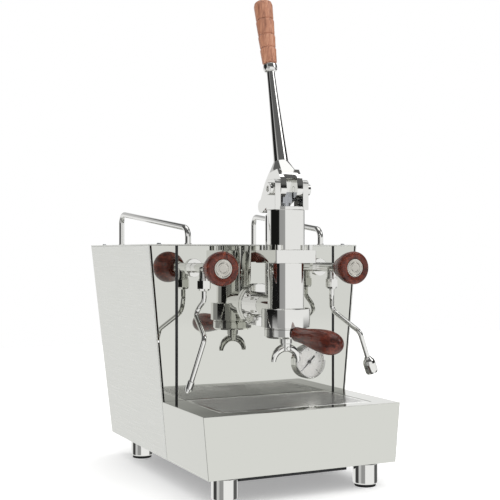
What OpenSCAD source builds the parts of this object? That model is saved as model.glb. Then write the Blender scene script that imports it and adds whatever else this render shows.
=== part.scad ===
// Lever espresso machine: steel housing, drip tray base, spring lever group,
// steam and hot water valves with swivelling wands. Millimetres, +Z up, front at -Y.
// The origin is on the floor under the middle of the whole machine.

/* [Housing] */
// Width of the housing across its top edges
top_w = 391.4; // [370:1:480]
// Height of the housing from its lower edge to its top
housing_h = 350.7; // [330:1:430]
// Depth of the housing along its top edge
housing_d = 320; // [300:1:390]
// Lean of each side panel, outwards going up, in degrees
side_lean = 5.2; // [0:0.1:7]
// Lean of the rear panel, outwards going up, in degrees
rear_lean = 5.05; // [0:0.1:7]
// Thickness of the outer sheet panels
sheet = 2; // [1:0.5:3]
// Width of the mirror panel between the two seams
panel_w = 290; // [250:1:300]
// Width of the dark seam beside the mirror panel
seam = 4.5; // [2:0.5:8]
// Gap between each corner strip and its side panel
strip_gap = 2.5; // [1:0.5:5]

/* [Drip tray base] */
// Depth of the low base in front of the housing
base_d = 170; // [150:1:210]
// Height of the base from its lower edge to its top
base_h = 95.5; // [80:0.5:120]
// Width of the tray opening in the top of the base
well_w = 267; // [230:1:300]
// Width of the polished margin in front of the tray
margin = 25.5; // [15:0.5:40]
// Depth of the drip tray below the top of the base
tray_depth = 42; // [25:1:60]
// Wall thickness of the drip tray
tray_wall = 1.2; // [0.8:0.1:2]
// Thickness of the drip grille
grille_t = 2.5; // [1.5:0.1:4]
// Width of each slot in the grille
slot_w = 3; // [2:0.1:5]
// Clearance round the tray, the grille and the cup tray
tray_fit = 1.2; // [0.5:0.1:3]

/* [Feet] */
// Height of each foot with its pad
foot_h = 40; // [25:1:60]
// Diameter of each foot
foot_dia = 40; // [25:1:50]
// Sideways distance of each foot from the middle
foot_x = 125; // [100:1:140]
// Distance of the front feet behind the front of the base
foot_front = 30; // [24:1:60]
// Distance of the rear feet ahead of the lower rear edge
foot_rear = 59; // [30:1:100]
// Height of the rubber pad under each foot
pad_h = 4; // [2:0.5:8]

/* [Cup tray and rails] */
// Width of the lift-out cup tray
cup_w = 224; // [180:1:240]
// Depth of the recess that the cup tray sits in
cup_recess = 12; // [8:1:25]
// Diameter of the rail tube
rail_dia = 10; // [8:0.5:14]
// Bend radius of the rail tube
rail_bend = 16; // [12:1:20]
// Sideways distance of the front rail posts from the middle
rail_front_x = 125; // [120:1:150]
// Sideways distance of the rear rail posts from the middle
rail_rear_x = 140; // [125:1:160]
// Height of the rail's middle line over the front posts
rail_front_h = 26.5; // [22:0.5:60]
// Height of the rail's middle line over the rear posts
rail_rear_h = 60; // [30:0.5:80]

/* [Group] */
// Distance of the group's axis ahead of the housing
group_out = 102; // [90:1:130]
// Height of the bell's mouth above the top of the base
cup_room = 122.5; // [110:0.5:160]
// Diameter of the bell that locks the portafilter
bell_dia = 78; // [76:0.5:90]
// Height of the bell
bell_h = 30; // [28:0.5:40]
// Bore of the cylinder
bore_dia = 50; // [40:0.5:52]
// Outside diameter of the lower cylinder
cyl_dia = 58; // [57:0.5:66]
// Height of the lower cylinder
cyl_h = 72.5; // [60:0.5:100]
// Width of the square flange between the cylinders
flange_w = 72; // [70:1:90]
// Height of the square flange
flange_h = 20.5; // [12:0.5:30]
// Outside diameter of the spring housing
spring_dia = 60; // [58:0.5:66]
// Height of the spring housing
spring_h = 64; // [60:0.5:90]
// Diameter of the neck that joins the group to the housing
neck_dia = 44; // [36:1:50]
// Diameter of the column that the lever's heel stops on
post_dia = 22; // [16:1:24]

/* [Lever] */
// Height of the fulcrum above the spring housing
fulcrum_up = 33; // [30:0.5:45]
// Distance of the fulcrum ahead of the group's axis
fulcrum_out = 8; // [4:0.5:10]
// Diameter of the fulcrum pins
pin_dia = 10; // [6:0.5:12]
// Distance from the fulcrum to the crank pin
crank_r = 18; // [14:0.5:20]
// Half of the lever's swing, degrees
half_swing = 48; // [30:1:50]
// Width of the channel between the yoke's ears
channel_w = 40; // [36:1:48]
// Thickness of each ear
ear_t = 10; // [6:0.5:14]
// Thickness of each cheek of the fork
cheek_t = 10; // [6:0.5:12]
// Lean of the lever at rest, backwards, degrees
lever_lean = 13.6; // [0:0.1:20]
// Distance of the lever's middle line behind the fulcrum
lever_back = 14; // [8:0.5:18]
// Length along the lever from the fulcrum to the grip
grip_from = 217; // [180:1:260]
// Length of the wooden grip
grip_l = 112; // [90:1:150]
// Largest diameter of the grip
grip_dia = 31.5; // [26:0.5:40]
// Diameter of the lever's shaft at its root
shaft_dia = 24; // [18:0.5:28]
// Diameter of the lever's shaft under the grip
shaft_end_dia = 13; // [10:0.5:18]

/* [Portafilter] */
// Diameter of the portafilter's outer ring
ring_dia = 69; // [68.6:0.2:74]
// Distance of the handle's tip ahead of the group's axis
handle_reach = 168; // [150:1:230]
// Droop of the handle towards its tip, in degrees
handle_droop = 3; // [0:0.5:10]
// Largest diameter of the handle
handle_dia = 36; // [28:0.5:42]
// Distance between the two spout tips
spout_gap = 44; // [38:1:56]

/* [Valves and wands] */
// Sideways distance of each valve from the middle
valve_x = 118; // [100:1:125]
// Height of the valves above the bell's mouth
valve_up = 94; // [80:0.5:110]
// Diameter of the wooden knobs
knob_dia = 54; // [40:0.5:60]
// Distance of the knob's face ahead of the housing
knob_out = 123; // [110:1:140]
// Distance of the wand outlet ahead of the housing
outlet_out = 45; // [35:1:55]
// Diameter of the wand tube
wand_dia = 8; // [6:0.5:10]
// Diameter of the ball at the top of each wand
ball_dia = 13; // [12:0.5:16]

/* [Pressure gauge] */
// Diameter of the gauge's bezel
gauge_dia = 58; // [50:0.5:70]
// Sideways place of the gauge
gauge_x = 97; // [80:1:110]
// Height of the gauge above the top of the base
gauge_up = 52.5; // [40:0.5:80]

/* [Boiler and water] */
// Diameter of the boiler
boiler_dia = 116; // [90:1:120]
// Length of the boiler
boiler_l = 155; // [120:1:160]
// Width of the water tank
tank_w = 80; // [60:1:84]
// Depth of the water tank
tank_d = 200; // [150:1:205]
// Height of the water tank
tank_h = 280; // [200:1:290]

/* [Fits] */
// Radial clearance of a turning or sliding fit
run_fit = 0.05; // [0.02:0.01:0.1]
// Clearance between pieces that pass each other
pass_gap = 0.4; // [0.3:0.1:1]

/* [Hidden] */
$fn = 48;
eps = 0.01;

// Heights of the main levels
low_z = foot_h;
base_z = foot_h + base_h;
top_z = foot_h + housing_h;
deck_z = top_z - sheet;

// The handle's tip and the rear top edge are equally far from the origin
front_y = (handle_reach + group_out - housing_d) / 2;
base_y = front_y - base_d;
group_y = front_y - group_out;

// Half width of the leaning housing and its rear face, at height z
function half_w(z) = top_w / 2 - (top_z - z) * tan(side_lean);
function rear_y(z) = front_y + housing_d - (top_z - z) * tan(rear_lean);

// Levels of the group, from the bell's mouth up
bell_z = base_z + cup_room;
cyl_z = bell_z + bell_h;
flange_z = cyl_z + cyl_h;
spring_z = flange_z + flange_h;
cap_z = spring_z + spring_h;
fulcrum_z = cap_z + fulcrum_up;
fulcrum_y = group_y - fulcrum_out;

// Inside the bell
socket_r = ring_dia / 2 - 0.3;
lug_out = 2.6;
lug_groove_r = socket_r + lug_out + pass_gap;
lug_h = 7;
lug_z = bell_z + 4.5;
lug_angle = 30;
unlock_angle = 50;
rim_z = bell_z + 12;
bore_r = bore_dia / 2;
screen_z = rim_z + pass_gap;
screen_h = 3.6;
chamber_z = screen_z + screen_h;

// Piston, rod and spring
lift = 2 * crank_r * sin(half_swing);
rod_r = 7;
cap_t = 6;
piston_z = chamber_z + 1.5;
piston_h = 26;
spring_wire_r = 2.5;
spring_r = bore_r - spring_wire_r - 3;
spring_turns = 8;

// Yoke, fork and crosshead across the middle
ear_in = channel_w / 2;
ear_out = ear_in + ear_t;
cheek_out = ear_in - pass_gap;
cheek_in = cheek_out - cheek_t;
pin_r = pin_dia / 2;
crank_pin_r = 4;
cross_half = cheek_in - 1.4;
cross_h = 18;
cross_slot_gap = 0.8;
cross_near = crank_r * cos(half_swing) - crank_pin_r - cross_slot_gap;
cross_far = crank_r + crank_pin_r + cross_slot_gap;
cross_wall = 5;
heel_r = 11;
heel_y = spring_dia / 2 + heel_r + 2.6 + fulcrum_out + 6.4;
heel_z = -fulcrum_up + heel_r - 3;
fork_s = 12;
root_s = 45;

// Neck and panel fittings
neck_z = cyl_z + 1;
neck_in = 14;
neck_plate_t = 10;
valve_z = bell_z + valve_up;
valve_r = 8;
valve_in = 14;
stem_r = 5;
bonnet_y = front_y - knob_out + 48;
knob_y = front_y - knob_out;
outlet_y = front_y - outlet_out;
ball_z = valve_z - 32;
nut_top = valve_z - 17;
nut_bottom = valve_z - 36;
nut_af = 20;
gauge_z = base_z + gauge_up;
gauge_proud = 12;
gauge_in = 22;

// Inside the housing
floor_t = 3;
floor_z = low_z + floor_t;
post_w = 20;
boiler_r = boiler_dia / 2;
boiler_x = -45;
boiler_z = bell_z + 12;
boiler_y = front_y + 89;
boiler_end = boiler_y + boiler_l;
boiler_flange_r = boiler_r + 8;
tank_x = 75;
tank_y = front_y + 59;
tank_z = floor_z + 19;
pump_x = -80;
pump_r = 38;
pump_z = floor_z + 64;
pump_y = front_y + 79;
pump_l = 110;
pump_head_l = 36;
inlet_x = 60;
inlet_z = low_z + 45;
screw_r = 2;

// --- shared shapes ---

function unit(v) = v / norm(v);
function turn_of(a, b, c) = acos(unit(b - a) * unit(c - b));

// Points of the round bend at b, between the directions to a and to c
function bend_points(a, b, c, bend, steps) =
    let (u = unit(a - b), w = unit(c - b), turn = turn_of(a, b, c),
         mid = b + unit(u + w) * bend / sin(acos(u * w) / 2),
         cut = bend * tan(turn / 2),
         e = unit(b + u * cut - mid),
         k = unit(cross(e, unit(b + w * cut - mid))),
         f = cross(k, e))
    [for (i = [0:steps]) mid + bend * (e * cos(turn * i / steps) + f * sin(turn * i / steps))];

// The points p with every inner corner rounded
function round_path(p, bend, steps = 6) = concat(
    [p[0]],
    [for (i = [1:len(p) - 2]) each bend_points(p[i - 1], p[i], p[i + 1], bend, steps)],
    [p[len(p) - 1]]);

// Direction of a path at each of its points
function tangents(q) = [for (i = [0:len(q) - 1])
    unit(q[min(i + 1, len(q) - 1)] - q[max(i - 1, 0)])];

// A vector square to each tangent, carried along the path without twist
function carried(t) = [for (i = 0, n = unit(cross(t[0], [0.3, 0.9, 0.2])); i < len(t);
    i = i + 1, n = i < len(t) ? unit(n - (n * t[i]) * t[i]) : n) n];

// A tube of radius r along the points p, with a round bend at each inner point
module tube(p, r, bend, sides = 12) {
    q = round_path(p, bend);
    t = tangents(q);
    n = carried(t);
    rings = len(q);
    pts = [for (i = [0:rings - 1], j = [0:sides - 1])
        q[i] + r * (n[i] * cos(j * 360 / sides) + cross(t[i], n[i]) * sin(j * 360 / sides))];
    polyhedron(pts, tube_faces(rings, sides));
}

// Faces of a closed tube whose points run ring by ring
function tube_faces(rings, sides) = concat(
    [[for (j = [0:sides - 1]) j]],
    [for (i = [0:rings - 2], j = [0:sides - 1]) let (k = (j + 1) % sides)
        [i * sides + j, (i + 1) * sides + j, (i + 1) * sides + k, i * sides + k]],
    [[for (j = [sides - 1:-1:0]) (rings - 1) * sides + j]]);

// A block given by its two corners
module block(low, high) {
    translate(low)
        cube(high - low);
}

// A cylinder along +Y from y0 to y1
module rod_y(x, z, y0, y1, r) {
    translate([x, y0, z])
        rotate([-90, 0, 0])
            cylinder(r = r, h = y1 - y0);
}

// A cylinder along +X from x0 to x1
module rod_x(y, z, x0, x1, r) {
    translate([x0, y, z])
        rotate([0, 90, 0])
            cylinder(r = r, h = x1 - x0);
}

// An outline in X and Z, swept along Y from y0 to y1
module sweep_y(points, y0, y1) {
    translate([0, y1, 0])
        rotate([90, 0, 0])
            linear_extrude(y1 - y0)
                polygon(points);
}

// An outline in Y and Z, swept along X from x0 to x1
module sweep_x(points, x0, x1) {
    translate([x0, 0, 0])
        rotate([90, 0, 90])
            linear_extrude(x1 - x0)
                polygon(points);
}

// A profile of [radius, distance] points spun about a line along +Y through x, z
module spin_y(x, y, z, points) {
    translate([x, y, z])
        rotate([-90, 0, 0])
            rotate_extrude()
                polygon(points);
}

// A place on the rear panel: +Z points out of it, +Y down it
module on_rear(x, z) {
    translate([x, rear_y(z), z])
        rotate([-90 - rear_lean, 0, 0])
            children();
}

// The lever's own line: +Z runs up the lever from beside the fulcrum
module on_lever() {
    translate([0, fulcrum_y + lever_back, fulcrum_z])
        rotate([-lever_lean, 0, 0])
            children();
}

// Both left (-1) and right (1)
module both_sides() {
    for (side = [-1, 1])
        mirror([side < 0 ? 1 : 0, 0, 0])
            children();
}

module each_foot() {
    for (side = [-1, 1], y = [base_y + foot_front, rear_y(low_z) - foot_rear])
        translate([side * foot_x, y, 0])
            children();
}

// --- outer panels ---

tray_y0 = base_y + margin;
tray_half = well_w / 2 - tray_fit;

module base_cover() {
    color("gainsboro")
        difference() {
            sweep_y([[-half_w(low_z), low_z], [half_w(low_z), low_z],
                     [half_w(base_z), base_z], [-half_w(base_z), base_z]],
                    base_y, front_y);
            sweep_y([[-half_w(low_z - 1) + sheet, low_z - 1],
                     [half_w(low_z - 1) - sheet, low_z - 1],
                     [half_w(base_z - sheet) - sheet, base_z - sheet],
                     [-half_w(base_z - sheet) + sheet, base_z - sheet]],
                    base_y + sheet, front_y + 1);
            block([-well_w / 2, tray_y0, base_z - sheet - 1],
                  [well_w / 2, front_y + 1, base_z + 1]);
        }
}

// A side panel between its leaning outer face and its leaning rear edge
module side_panel() {
    intersection() {
        sweep_y([[half_w(low_z) - sheet, low_z], [half_w(low_z), low_z],
                 [half_w(deck_z), deck_z], [half_w(deck_z) - sheet, deck_z]],
                front_y, front_y + housing_d);
        sweep_x([[front_y, low_z], [rear_y(low_z), low_z],
                 [rear_y(deck_z), deck_z], [front_y, deck_z]],
                0, top_w);
    }
}

module side_panel_left() {
    color("silver")
        mirror([1, 0, 0])
            side_panel();
}

module side_panel_right() {
    color("silver")
        side_panel();
}

module front_panel() {
    color("gainsboro")
        difference() {
            block([-panel_w / 2, front_y, floor_z],
                  [panel_w / 2, front_y + sheet, deck_z]);
            rod_y(0, neck_z, front_y - 1, front_y + sheet + 1, neck_dia / 2);
            for (side = [-1, 1])
                rod_y(side * valve_x, valve_z, front_y - 1, front_y + sheet + 1, valve_r);
            rod_y(gauge_x, gauge_z, front_y - 1, front_y + sheet + 1, gauge_dia / 2 - 2);
        }
}

strip_x = panel_w / 2 + seam;

module front_strips() {
    color("gainsboro")
        both_sides()
            sweep_y([[strip_x, floor_z],
                     [half_w(floor_z) - sheet - strip_gap, floor_z],
                     [half_w(deck_z) - sheet - strip_gap, deck_z],
                     [strip_x, deck_z]],
                    front_y, front_y + sheet);
}

vent_n = 9;

module rear_panel() {
    color("silver")
        difference() {
            intersection() {
                sweep_x([[rear_y(low_z) - sheet, low_z], [rear_y(low_z), low_z],
                         [rear_y(deck_z), deck_z], [rear_y(deck_z) - sheet, deck_z]],
                        -top_w / 2, top_w / 2);
                sweep_y([[-half_w(low_z) + sheet, low_z], [half_w(low_z) - sheet, low_z],
                         [half_w(deck_z) - sheet, deck_z],
                         [-half_w(deck_z) + sheet, deck_z]],
                        front_y, front_y + housing_d + 1);
            }
            for (side = [-1, 1], i = [0:vent_n - 1])
                on_rear(side * 75, top_z - 90 - i * 12)
                    cube([90, 4, 4 * sheet], center = true);
            on_rear(inlet_x, inlet_z)
                cube([inlet_w - 6, inlet_h - 6, 4 * sheet], center = true);
            each_rear_screw()
                cylinder(r = screw_r, h = 4 * sheet, center = true);
        }
}

module each_rear_screw() {
    for (side = [-1, 1], z = [low_z + 20, (low_z + top_z) / 2, top_z - 25])
        on_rear(side * (half_w(z) - sheet - 14), z)
            children();
}

module each_top_screw() {
    for (side = [-1, 1], y = [front_y + 12, front_y + housing_d - 14])
        translate([side * (top_w / 2 - 22), y, deck_z])
            children();
}

module panel_screws() {
    color("silver") {
        each_rear_screw() {
            translate([0, 0, -sheet])
                cylinder(r = screw_r, h = sheet);
            screw_head();
        }
        each_top_screw() {
            cylinder(r = screw_r, h = sheet);
            translate([0, 0, sheet])
                screw_head();
        }
    }
}

module screw_head() {
    difference() {
        cylinder(r1 = 2 * screw_r, r2 = 1.3 * screw_r, h = 2.2);
        translate([0, 0, 1])
            cylinder(r = 1.3, h = 2, $fn = 6);
    }
}

cup_y0 = front_y + 34;
cup_y1 = front_y + housing_d - 44;
lip = 6;

module top_frame() {
    color("gainsboro") {
        difference() {
            block([-top_w / 2, front_y, deck_z], [top_w / 2, front_y + housing_d, top_z]);
            block([-cup_w / 2, cup_y0, deck_z - 1], [cup_w / 2, cup_y1, top_z + 1]);
            // the deck follows the leaning sides and back at its thin edge
            both_sides()
                sweep_y([[half_w(deck_z), deck_z - 1], [top_w, deck_z - 1],
                         [top_w, top_z + 1], [half_w(top_z + 1), top_z + 1],
                         [half_w(deck_z), deck_z]],
                        front_y - 1, front_y + housing_d + 1);
            each_top_screw()
                cylinder(r = screw_r, h = 3 * sheet, center = true);
        }
        difference() {
            block([-cup_w / 2 - sheet, cup_y0 - sheet, top_z - cup_recess - sheet],
                  [cup_w / 2 + sheet, cup_y1 + sheet, deck_z]);
            block([-cup_w / 2, cup_y0, top_z - cup_recess],
                  [cup_w / 2, cup_y1, top_z + 1]);
            block([-cup_w / 2 + lip, cup_y0 + lip, top_z - cup_recess - 2 * sheet],
                  [cup_w / 2 - lip, cup_y1 - lip, top_z]);
        }
    }
}

cup_fit = tray_fit / 2;
cup_slot_n = 7;

module cup_tray() {
    pitch = (cup_y1 - cup_y0 - 40) / (cup_slot_n - 1);
    color("silver")
        difference() {
            block([-cup_w / 2 + cup_fit, cup_y0 + cup_fit, top_z - cup_recess],
                  [cup_w / 2 - cup_fit, cup_y1 - cup_fit, top_z - 3]);
            block([-cup_w / 2 + cup_fit + sheet, cup_y0 + cup_fit + sheet,
                   top_z - cup_recess + sheet],
                  [cup_w / 2 - cup_fit - sheet, cup_y1 - cup_fit - sheet, top_z]);
            for (column = [-1, 0, 1], i = [0:cup_slot_n - 1])
                translate([column * cup_w / 3.4, cup_y0 + 20 + i * pitch,
                           top_z - cup_recess])
                    cube([cup_w / 5, 6, 3 * sheet], center = true);
        }
}

rail_y0 = front_y + rail_dia / 2 + 1;
rail_y1 = front_y + housing_d - 15;

module cup_rails() {
    rail_r = rail_dia / 2;
    color("silver")
        both_sides() {
            tube([[rail_front_x, rail_y0, top_z],
                  [rail_front_x, rail_y0, top_z + rail_front_h],
                  [rail_rear_x, rail_y1, top_z + rail_rear_h],
                  [rail_rear_x, rail_y1, top_z]],
                 rail_r, rail_bend, 20);
            for (foot = [[rail_front_x, rail_y0], [rail_rear_x, rail_y1]])
                translate([foot[0], foot[1], top_z])
                    cylinder(r = rail_r + 1, h = 2);
        }
}

// --- chassis, feet and drip tray ---

well_half = tray_half - 18;
tub_drop = 16;
tub_half = foot_x - foot_dia / 2 - 4;

module chassis() {
    floor_half = half_w(low_z) - sheet - 0.3;
    post_y = [front_y + sheet, rear_y(low_z) - sheet - post_w - 2];
    post_x = panel_w / 2 - 6;
    tray_z = base_z - tray_depth;
    rail_z = top_z - cup_recess - sheet - 14;
    color("dimgray")
        difference() {
            union() {
                // floor plate and the shallow tub pressed under it
                block([-floor_half, base_y + sheet + 0.3, low_z],
                      [floor_half, rear_y(low_z) - sheet - 0.3, floor_z]);
                block([-tub_half, base_y + 48, low_z - tub_drop],
                      [tub_half, rear_y(low_z) - 40, low_z]);
                // four posts and the frame that joins their tops
                for (side = [-1, 1], y = post_y)
                    translate([side * post_x - (side < 0 ? post_w : 0), y, low_z])
                        cube([post_w, post_w, deck_z - low_z]);
                for (y = post_y)
                    block([-post_x, y, rail_z], [post_x, y + post_w, rail_z + 10]);
                for (side = [-1, 1])
                    translate([side * (post_x + post_w / 2) - 5, post_y[0], rail_z])
                        cube([10, post_y[1] - post_y[0], 10]);
                // two rails that the drip tray stands on
                for (side = [-1, 1])
                    translate([side * well_half - 4, tray_y0 + 8, low_z])
                        cube([8, base_d - margin - 20, tray_z - low_z]);
            }
            block([-tub_half + sheet, base_y + 48 + sheet, low_z - tub_drop + sheet],
                  [tub_half - sheet, rear_y(low_z) - 40 - sheet, floor_z + 1]);
            each_foot()
                translate([0, 0, low_z - 1])
                    cylinder(r = 5, h = floor_t + 2);
        }
}

module feet() {
    color("lightgray")
        each_foot() {
            foot_r = foot_dia / 2;
            rotate_extrude()
                polygon([[0, pad_h], [foot_r - 1.5, pad_h], [foot_r, pad_h + 1.5],
                         [foot_r, foot_h - 3], [foot_r - 3, foot_h], [0, foot_h]]);
            translate([0, 0, foot_h])
                cylinder(r = 5, h = floor_t);
            translate([0, 0, floor_z])
                cylinder(r = 8, h = 6, $fn = 6);
        }
}

module foot_pads() {
    color("black")
        each_foot()
            cylinder(r = foot_dia / 2 - 2.5, h = pad_h);
}

module drip_tray() {
    low = base_z - tray_depth;
    high = base_z - grille_t;
    y1 = front_y - tray_fit;
    color("silver")
        difference() {
            block([-tray_half, tray_y0 + tray_fit, low], [tray_half, y1, high]);
            block([-tray_half + tray_wall, tray_y0 + tray_fit + tray_wall, low + tray_wall],
                  [tray_half - tray_wall, y1 - tray_wall, high + 1]);
            translate([-tray_half + 20, y1 - 20, low - 1])
                cylinder(r = 4, h = 2 * tray_wall + 2);
        }
}

grille_rows = 9;
grille_columns = 6;

module drip_grille() {
    y0 = tray_y0 + tray_fit;
    y1 = front_y - tray_fit;
    column_w = (2 * tray_half - 16) / grille_columns;
    row_d = (y1 - y0 - 16) / grille_rows;
    rib_in = tray_wall + 0.8;
    color("gray")
        difference() {
            union() {
                block([-tray_half, y0, base_z - grille_t], [tray_half, y1, base_z]);
                // folded rim that drops inside the tray and keeps the grille in place
                difference() {
                    block([-tray_half + rib_in, y0 + rib_in, base_z - grille_t - 7],
                          [tray_half - rib_in, y1 - rib_in, base_z - grille_t]);
                    block([-tray_half + rib_in + 1.5, y0 + rib_in + 1.5,
                           base_z - grille_t - 8],
                          [tray_half - rib_in - 1.5, y1 - rib_in - 1.5, base_z]);
                }
            }
            for (i = [0:grille_columns - 1], j = [0:grille_rows - 1])
                translate([-tray_half + 8 + (i + 0.5) * column_w,
                           y0 + 8 + (j + 0.5) * row_d, base_z])
                    cube([column_w - 5, slot_w, 3 * grille_t], center = true);
        }
}

// --- boiler, water and electrics ---

fitting_y = [35, 70, 110];
stub_r = 5;

// The places of the three fittings along the top of the boiler
module each_fitting(height) {
    for (y = fitting_y)
        translate([boiler_x, boiler_y + y, height])
            children();
}

module boiler() {
    wall = 2;
    color("peru")
        difference() {
            union() {
                rod_y(boiler_x, boiler_z, boiler_y, boiler_end, boiler_r);
                rod_y(boiler_x, boiler_z, boiler_end - 8, boiler_end, boiler_flange_r);
            }
            rod_y(boiler_x, boiler_z, boiler_y + 3, boiler_end + 1, boiler_r - wall);
            each_fitting(boiler_z)
                cylinder(r = stub_r, h = boiler_r + 1);
        }
}

module heating_element() {
    flange_t = 8;
    reach = boiler_l - 40;
    loop_r = 15;
    color("goldenrod") {
        rod_y(boiler_x, boiler_z, boiler_end, boiler_end + flange_t, boiler_flange_r);
        for (i = [0:7])
            translate([boiler_x, boiler_end + flange_t, boiler_z])
                rotate([-90, i * 45, 0])
                    translate([boiler_r + 2.5, 0, 0])
                        cylinder(r = 4.6, h = 4, $fn = 6);
        // two loops of round element rod, each a pair of legs and a half turn
        for (side = [-1, 1]) {
            x = boiler_x + side * 22;
            for (z = [-loop_r, loop_r])
                rod_y(x, boiler_z - 27 + z, boiler_end - reach, boiler_end + 1, 4);
            translate([x, boiler_end - reach, boiler_z - 27])
                rotate([0, 90, 180])
                    rotate_extrude(angle = 180)
                        translate([loop_r, 0])
                            circle(r = 4);
        }
    }
}

module boiler_fittings() {
    top = boiler_z + boiler_r;
    color("darkgoldenrod") {
        each_fitting(top - 4)
            cylinder(r = stub_r, h = 5);
        // safety valve
        translate([boiler_x, boiler_y + fitting_y[0], top]) {
            cylinder(r = 9, h = 8, $fn = 6);
            cylinder(r = 6, h = 30);
            translate([0, 0, 22])
                cylinder(r = 8, h = 4);
        }
        // vacuum breaker
        translate([boiler_x, boiler_y + fitting_y[1], top]) {
            cylinder(r = 8, h = 10, $fn = 6);
            cylinder(r = 4, h = 20);
        }
        // pressurestat
        translate([boiler_x, boiler_y + fitting_y[2], top]) {
            cylinder(r = stub_r, h = 12);
            translate([-17, -14, 10])
                cube([34, 28, 26]);
        }
    }
}

neck_end = front_y + neck_in;
pipe_r = 5;

module pipes() {
    valve_end = front_y + valve_in;
    head_y = pump_y + pump_l + 20;
    color("peru") {
        // upper and lower circuit between the boiler and the group
        for (side = [-1, 1])
            tube([[0, neck_end, neck_z + side * 9],
                  [0, neck_end + 28, neck_z + side * 9],
                  [boiler_x + 20, boiler_y - 28, boiler_z + side * 30],
                  [boiler_x + 20, boiler_y, boiler_z + side * 30]],
                 pipe_r, 10);
        // steam to the left valve, hot water to the right valve
        tube([[-valve_x, valve_end, valve_z],
              [-valve_x, valve_end + 22, valve_z],
              [boiler_x - 28, boiler_y - 24, boiler_z + 34],
              [boiler_x - 28, boiler_y, boiler_z + 34]],
             pipe_r, 10);
        tube([[valve_x, valve_end, valve_z],
              [valve_x, valve_end + 20, valve_z],
              [boiler_x, boiler_y - 26, boiler_z + 47],
              [boiler_x, boiler_y, boiler_z + 47]],
             pipe_r, 10);
        // capillary of the gauge
        tube([[gauge_x, front_y + gauge_in, gauge_z],
              [gauge_x, front_y + gauge_in + 18, gauge_z],
              [boiler_x + 42, boiler_y - 22, boiler_z - 18],
              [boiler_x + 42, boiler_y, boiler_z - 18]],
             1.6, 8);
        // tank to pump, pump to boiler
        tube([[tank_x, head_y, tank_z + 14],
              [tank_x - 30, head_y, tank_z + 14],
              [pump_x + 60, head_y, pump_z],
              [pump_x + 24, head_y, pump_z]],
             pipe_r, 10);
        tube([[pump_x, head_y, pump_z + 24],
              [pump_x, head_y, pump_z + 50],
              [boiler_x, head_y, boiler_z - boiler_r - 22],
              [boiler_x, head_y, boiler_z - boiler_r]],
             pipe_r, 10);
    }
}

module water_tank() {
    wall = 3;
    color("lightblue", 0.6)
        difference() {
            block([tank_x, tank_y, tank_z],
                  [tank_x + tank_w, tank_y + tank_d, tank_z + tank_h]);
            block([tank_x + wall, tank_y + wall, tank_z + wall],
                  [tank_x + tank_w - wall, tank_y + tank_d - wall, tank_z + tank_h + 1]);
        }
}

module pump() {
    color("slategray")
        difference() {
            union() {
                rod_y(pump_x, pump_z, pump_y, pump_y + pump_l, pump_r);
                rod_y(pump_x, pump_z, pump_y + pump_l, pump_y + pump_l + pump_head_l, 24);
                for (y = [pump_y + 10, pump_y + pump_l - 30])
                    block([pump_x - 30, y, floor_z], [pump_x + 30, y + 20, pump_z - 10]);
            }
            // cooling slots round the motor
            for (i = [0:9])
                rotate_about_pump(i * 36)
                    translate([pump_r, pump_y + 30, 0])
                        cube([6, pump_l - 65, 4]);
        }
}

module rotate_about_pump(angle) {
    translate([pump_x, 0, pump_z])
        rotate([0, angle, 0])
            children();
}

module control_box() {
    y1 = rear_y(low_z) - sheet - post_w - 6;
    color("darkslategray")
        difference() {
            block([0, y1 - 40, floor_z + 55], [60, y1, floor_z + 150]);
            block([2, y1 - 41, floor_z + 57], [58, y1 - 2, floor_z + 148]);
        }
}

inlet_w = 62;
inlet_h = 36;
rocker_dx = 17;
rocker_pin_r = 1.5;

// The rocker's axis, as a round bar along X
module rocker_pivot(r, width) {
    rotate([0, 90, 0])
        cylinder(r = r, h = width, center = true);
}

module power_inlet() {
    color("black")
        on_rear(inlet_x, inlet_z)
            difference() {
                union() {
                    translate([-inlet_w / 2, -inlet_h / 2, 0])
                        cube([inlet_w, inlet_h, 2.5]);
                    translate([-inlet_w / 2 + 3, -inlet_h / 2 + 3, -20])
                        cube([inlet_w - 6, inlet_h - 6, 20 + eps]);
                }
                // plug well
                translate([-inlet_w / 2 + 6, -10, -14])
                    cube([26, 20, 20]);
                // rocker well, with a blind hole on each side for the rocker's pivots
                translate([rocker_dx, 0, -5])
                    cube([19, 26, 30], center = true);
                translate([rocker_dx, 0, 0])
                    rocker_pivot(rocker_pin_r + run_fit, 21.2);
            }
}

module power_switch() {
    color("firebrick")
        on_rear(inlet_x + rocker_dx, inlet_z) {
            translate([-8.8, 0, -4])
                rotate([90, 0, 90])
                    linear_extrude(17.6)
                        polygon([[-11, 1], [-11, 6], [0, 6.5], [11, 10], [10, 1], [0, -3]]);
            rocker_pivot(rocker_pin_r, 20.8);
        }
}

// --- group ---

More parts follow.
